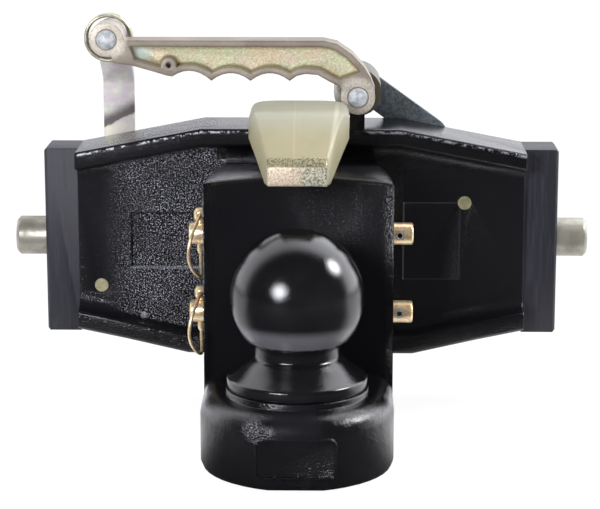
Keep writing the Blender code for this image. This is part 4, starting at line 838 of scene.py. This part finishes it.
def buildWire(name, points, radius, node, look=None, rides=True):
    # a round wire on a smooth curve through its points
    curve = bpy.data.curves.new(name, "CURVE")
    curve.dimensions = "3D"
    curve.bevel_depth = radius
    curve.bevel_resolution = 4
    curve.use_fill_caps = True
    spline = curve.splines.new("POLY")
    spline.points.add(len(points) - 1)
    for target, point in zip(spline.points, points):
        target.co = (*point, 1)
    maker = bpy.data.objects.new(name + "Maker", curve)
    bpy.context.scene.collection.objects.link(maker)
    graph = bpy.context.evaluated_depsgraph_get()
    shape = bmesh.new()
    shape.from_mesh(maker.evaluated_get(graph).to_mesh())
    maker.evaluated_get(graph).to_mesh_clear()
    bpy.data.objects.remove(maker)
    bmesh.ops.remove_doubles(shape, verts=shape.verts, dist=1e-6)
    bmesh.ops.recalc_face_normals(shape, faces=shape.faces)
    return addPiece(name, shape, node, look, 50, rides)


pinSpring = {
    "inner": 0.059,
    "outer": 0.092,
    "depth": 0.139,
    "height": 0.111,
    "radius": 0.0095,
    "wire": 0.001,
    "turns": 4.5,
    "steps": 36,
    "closing": 0.045,
    "gap": 0.0004,
    "keep": 0.385,
}


def buildPinSpring(side, name, node):
    values = pinSpring
    start = values["inner"] + values["wire"] + values["gap"]
    end = values["outer"] - values["wire"] - values["gap"]
    count = int(values["turns"] * values["steps"])
    points = []
    for step in range(count + 1):
        turn = 2 * math.pi * step / values["steps"]
        share = step / count
        # end turns close up
        share = share - values["closing"] * math.sin(2 * math.pi * share)
        points.append((
            side * (start + (end - start) * share),
            values["depth"] + values["radius"] * math.cos(turn),
            values["height"] + values["radius"] * math.sin(turn),
        ))
    piece = buildWire(name, points, values["wire"], node)
    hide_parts(node)
    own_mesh(piece)


torsion = {
    "centre": (-0.1218, 0.2427),
    "radius": 0.0141,
    "wire": 0.0011,
    "first": 0.1164,
    "pitch": 0.0025,
    "turns": 3,
    "start": -80,
    "steps": 40,
    "hole": (-0.0820, 0.2283),
    "holeDepth": 0.1025,
    "hookX": -0.1080,
    "hookDrop": 0.012,
    "hookEnd": 0.138,
}


def buildTorsionSpring():
    values = torsion
    x, z = values["centre"]
    sweep = 360 * values["turns"] + 360 + values["start"]
    count = round(values["steps"] * sweep / 360)
    coil = []
    for step in range(count + 1):
        turn = math.radians(values["start"] - sweep * step / count)
        depth = values["first"] + values["pitch"] * sweep / 360 * step / count
        coil.append((x + values["radius"] * math.cos(turn), depth, z + values["radius"] * math.sin(turn)))
    holeX, holeZ = values["hole"]
    leg = [
        (holeX, values["holeDepth"], holeZ),
        (holeX, values["first"] - 0.0020, holeZ),
        (holeX - 0.0004, values["first"] - 0.0008, holeZ),
        (holeX - 0.0016, values["first"], holeZ + 0.0002),
        (holeX - 0.0160, values["first"], holeZ + 0.0014),
    ]
    piece = buildWire("torsionCoil", leg + coil, values["wire"], "torsion_spring", coilLook, rides=False)
    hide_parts("torsion_spring")
    last = coil[-1]
    # the coil winds from the handle, which holds its leg, to the left lever, which holds its hook
    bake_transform(piece)
    hook = [
        (last[0] + 0.0001, last[1], last[2]),
        (values["hookX"], last[1] + 0.0002, z - values["hookDrop"] + 0.003),
        (values["hookX"], last[1] + 0.0010, z - values["hookDrop"] + 0.0008),
        (values["hookX"], last[1] + 0.0030, z - values["hookDrop"]),
        (values["hookX"], values["hookEnd"], z - values["hookDrop"]),
    ]
    tail = buildWire("torsionHook", hook, values["wire"], "torsion_spring", coilLook)
    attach(tail, "left_lever_body")


linch = {
    "x": -0.062,
    "y": 0.080,
    "radius": 0.020,
    "wire": 0.0011,
    "bulge": 0.0062,
    "rearBulge": 0.0015,
    "lean": 0.25,
    "head": 0.0042,
    "endDepth": 0.45,
    "endBend": 0.6,
    "steps": 72,
}


def buildLinchRing(name, node, hingeHeight):
    values = linch
    x, y = values["x"], values["y"]
    opening = math.asin((values["head"] + 2 * values["wire"]) / values["radius"])
    centre = hingeHeight - values["radius"] * math.cos(opening)
    points = [(x, y + values["head"] * values["endDepth"], hingeHeight)]
    for step in range(values["steps"] + 1):
        turn = opening + (2 * math.pi - 2 * opening) * step / values["steps"]
        bulge = values["bulge"] if math.sin(turn) < 0 else values["rearBulge"]
        points.append((
            x - bulge * math.sin(turn) ** 2 * (1 - values["lean"] * math.cos(turn)),
            y + values["radius"] * math.sin(turn),
            centre + values["radius"] * math.cos(turn),
        ))
    points[1] = (x, points[1][1] - values["wire"] * values["endBend"], hingeHeight)
    points[-1] = (x, points[-1][1] + values["wire"] * values["endBend"], hingeHeight)
    points.append((x, y - values["head"] * values["endDepth"], hingeHeight))
    piece = buildWire(name, points, values["wire"], node)
    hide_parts(node)


handleValues = {
    "front": 0.095,
    "rear": 0.115,
    "floor": 0.1025,
    "fillet": 0.0021,
    "filletRise": 0.0011,
    "bead": 0.0015,
    "softening": 0.0006,
    "sharpAngle": 60,
}


def buildHandle():
    # the panel's floor gets a ring that rises to its wall, and marks for the colours
    values = handleValues
    shape = copyOf("handle")
    sunk = shape.verts.layers.float.new("sunk")
    fillet = shape.verts.layers.float.new("fillet")
    floors = [
        face for face in shape.faces
        if face.normal.y < -0.9 and abs(face.calc_center_median().y - values["floor"]) < 0.0005
    ]
    ring = bmesh.ops.inset_region(shape, faces=floors, thickness=values["fillet"], use_even_offset=True)
    inner = {vert for face in floors for vert in face.verts}
    outer = {vert for face in ring["faces"] for vert in face.verts} - inner
    for vert in inner:
        vert[sunk] = 1
    for vert in outer:
        vert[sunk] = 1
        vert[fillet] = 1
        vert.co.y -= values["filletRise"]
    sharp = [
        edge for edge in shape.edges
        if len(edge.link_faces) == 2 and edge.calc_face_angle(0) > math.radians(values["sharpAngle"])
        and not (edge.verts[0] in outer and edge.verts[1] in outer)
    ]
    beads = []
    for edge in sharp:
        atFront = all(abs(vert.co.y - values["front"]) < 0.0001 for vert in edge.verts)
        deep = max(vert.co.y for face in edge.link_faces for vert in face.verts)
        if atFront and deep > values["rear"] - 0.001:
            beads.append(edge)
    others = [edge for edge in sharp if edge not in beads]
    bmesh.ops.bevel(
        shape, geom=beads, offset=values["bead"], segments=3, affect="EDGES", profile=0.5, material=-1,
        clamp_overlap=True,
    )
    others = [edge for edge in others if edge.is_valid]
    bmesh.ops.bevel(
        shape, geom=others, offset=values["softening"], segments=2, affect="EDGES", profile=0.5,
        material=-1, clamp_overlap=True,
    )
    piece = addPiece("handleCasting", shape, "handle")
    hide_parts("handle")


# width, segments, least angle and any look of its own
sideEdges = {
    "_locking_pin": (0.0003, 1, 40),
    "_lever_pin": (0.0003, 1, 50, rivetLook),
    "_lever_washer": (0.0002, 1, 50),
    "_lever_clip": (0.0001, 1, 50),
    "_handle_pin": (0.0002, 1, 60, pinHeadLook),
    "_handle_washer": (0.0002, 1, 50),
    "_handle_clip": (0.0001, 1, 50),
    "_drive_stud": (0.0003, 1, 50),
}
crossEdges = {
    "_pin": (0.0003, 1, 40, looks["yellow_zinc_steel"]),
    "_roll_pin": (0.0003, 1, 40),
    "_linch_pin": (0.0003, 1, 60),
}
singleEdges = {
    "stud_nut": (0.0006, 2, 40),
    "stud_washer": (0.0004, 2, 40),
    "handle_bush": (0.0003, 1, 40),
    "right_hub_washer": (0.0002, 1, 40),
    "right_drive_fork": (0.0004, 2, 40),
}

print("pieces")
softened("carrier_casting", 0.0010, 2, 38)
buildBallStud()
softened("hold_down", 0.0016, 3, 30)
buildHandle()
softened("left_lever", 0.0005, 2, 50)
softened("right_lever", 0.0005, 2, 50)
for side in ("left", "right"):
    for ending, values in sideEdges.items():
        softened(side + ending, *values)
for which in ("lock", "pivot"):
    for ending, values in crossEdges.items():
        softened(which + ending, *values)
for node, values in singleEdges.items():
    softened(node, *values)
buildPinSpring(-1, "leftPinSpring", "left_pin_spring")
buildPinSpring(1, "rightPinSpring", "right_pin_spring")
buildTorsionSpring()
buildLinchRing("lockLinchRing", "lock_linch_ring", 0.1366)
buildLinchRing("pivotLinchRing", "pivot_linch_ring", 0.0866)

stageValues = {
    "floorHalf": 6.0,
    "floorColour": (0.86, 0.86, 0.86),
    "floorDark": (0.02, 0.02, 0.02),
    "darkDepth": (-0.03, 0.07),
    "whiteRadius": (0.25, 0.95),
    "whiteNear": 0.90,
    "whiteFar": 1.0,
    "whiteStrength": 1.04,
}


def buildFloor():
    values = stageValues
    shape = bmesh.new()
    bmesh.ops.create_grid(shape, x_segments=1, y_segments=1, size=values["floorHalf"])
    mesh = bpy.data.meshes.new("floor")
    shape.to_mesh(mesh)
    shape.free()
    look = Look("floorPaper")
    x, y = look.axes("xy")
    rays = look.add("ShaderNodeLightPath")
    seen = look.out(rays, "Is Camera Ray")
    glossy = look.out(rays, "Is Glossy Ray")
    emission = {"Color": (1, 1, 1, 1), "Strength": values["whiteStrength"]}
    white = look.add("ShaderNodeEmission", None, emission)
    grain = look.noise(40, 2)
    # reflections see the paper dark before the object, so that the black paint stays black
    before = glossy * look.fade(y, *values["darkDepth"])
    colour = look.mix(before, values["floorColour"], values["floorDark"])
    look.set({"Base Color": colour, "Roughness": 0.75 + 0.1 * grain})
    away = (x * x + y * y).root()
    fade = look.ease(away, *values["whiteRadius"], values["whiteNear"], values["whiteFar"])
    look.cover(seen * fade, white)
    mesh.materials.append(look.material)
    floor = bpy.data.objects.new("floor", mesh)
    bpy.context.scene.collection.objects.link(floor)


lamps = {
    "key": {
        "place": (-0.68, -1.18, 0.53), "size": 0.54, "power": 21, "mirrored": True,
        "colour": (0.93, 0.94, 1.0),
    },
    "rearRight": {"place": (1.11, 0.11, 0.98), "size": 0.46, "power": 16, "mirrored": True},
    "topSoft": {"place": (-0.10, -0.20, 1.60), "size": 1.30, "power": 15},
    "leftWall": {"place": (-1.40, -0.10, 0.60), "size": 1.10, "power": 9},
    "rightWall": {"place": (1.40, -0.20, 0.50), "size": 1.10, "power": 8},
    "frontFill": {"place": (0.35, -1.50, 0.45), "size": 0.9, "power": 8},
}
lampAim = (0, 0.04, 0.12)


def addLamp(name, values):
    light = bpy.data.lights.new(name, "AREA")
    light.shape = "DISK"
    light.size = values["size"]
    light.energy = values["power"]
    light.color = values.get("colour", (1, 1, 1))
    lamp = bpy.data.objects.new(name, light)
    lamp.location = values["place"]
    lamp.visible_glossy = values.get("mirrored", False)
    aim = Vector(lampAim) - Vector(values["place"])
    lamp.rotation_euler = aim.to_track_quat("-Z", "Y").to_euler()
    bpy.context.scene.collection.objects.link(lamp)


skyValues = {
    "diffuse": 0.42,
    "front": 0.03,
    "side": 2.75,
    "sideTurn": (-0.02, 0.30),
    "leftShare": 0.85,
    "rightShare": 1.5,
    "rightTurn": (-0.25, 0.45),
    "straight": 0.4,
    "straightTurn": (0.72, 0.97),
    "tint": (0.94, 0.95, 1.0),
}


def buildSky():
    # white to the camera, dark before the object and bright behind it in reflections
    values = skyValues
    world = bpy.data.worlds.new("studio")
    bpy.context.scene.world = world
    world.use_nodes = True
    tree = world.node_tree
    sky = Look("sky", tree)
    generated = sky.out(sky.add("ShaderNodeTexCoord"), "Generated")
    way = sky.add("ShaderNodeSeparateXYZ", None, {0: generated})
    backward = sky.out(way, 1)
    side = sky.ease(backward, *values["sideTurn"], values["front"], values["side"])
    right = sky.ease(sky.out(way, 0), *values["rightTurn"], values["leftShare"], values["rightShare"])
    behind = side * right * sky.ease(backward, *values["straightTurn"], 1, values["straight"])
    rays = sky.add("ShaderNodeLightPath")
    camera = sky.out(rays, "Is Camera Ray")
    glossy = sky.out(rays, "Is Glossy Ray")
    clear = sky.out(rays, "Is Transmission Ray")
    plain = (1 - camera) * (1 - glossy) * (1 - clear)
    strength = plain * values["diffuse"] + glossy * behind + clear * behind + camera * 1.0
    background = tree.nodes["Background"]
    tree.links.new(strength.socket, background.inputs["Strength"])
    colour = sky.mix(camera, values["tint"], (1, 1, 1))
    tree.links.new(colour.socket, background.inputs["Color"])


cameraValues = {
    "place": (0.0260, -1.2657, 0.4073),
    "forward": (-0.0187, 0.9765, -0.2147),
    "lens": 131.94,
    "sensor": 36,
    "reach": 50,
}


def buildCamera():
    data = bpy.data.cameras.new("camera")
    data.lens = cameraValues["lens"]
    data.sensor_width = cameraValues["sensor"]
    data.sensor_fit = "HORIZONTAL"
    data.clip_end = cameraValues["reach"]
    camera = bpy.data.objects.new("camera", data)
    camera.location = cameraValues["place"]
    camera.rotation_euler = Vector(cameraValues["forward"]).to_track_quat("-Z", "Y").to_euler()
    bpy.context.scene.collection.objects.link(camera)
    bpy.context.scene.camera = camera


print("stage")
buildFloor()
for lampName, values in lamps.items():
    addLamp(lampName, values)
buildSky()
buildCamera()
bpy.context.scene.view_settings.view_transform = "Standard"
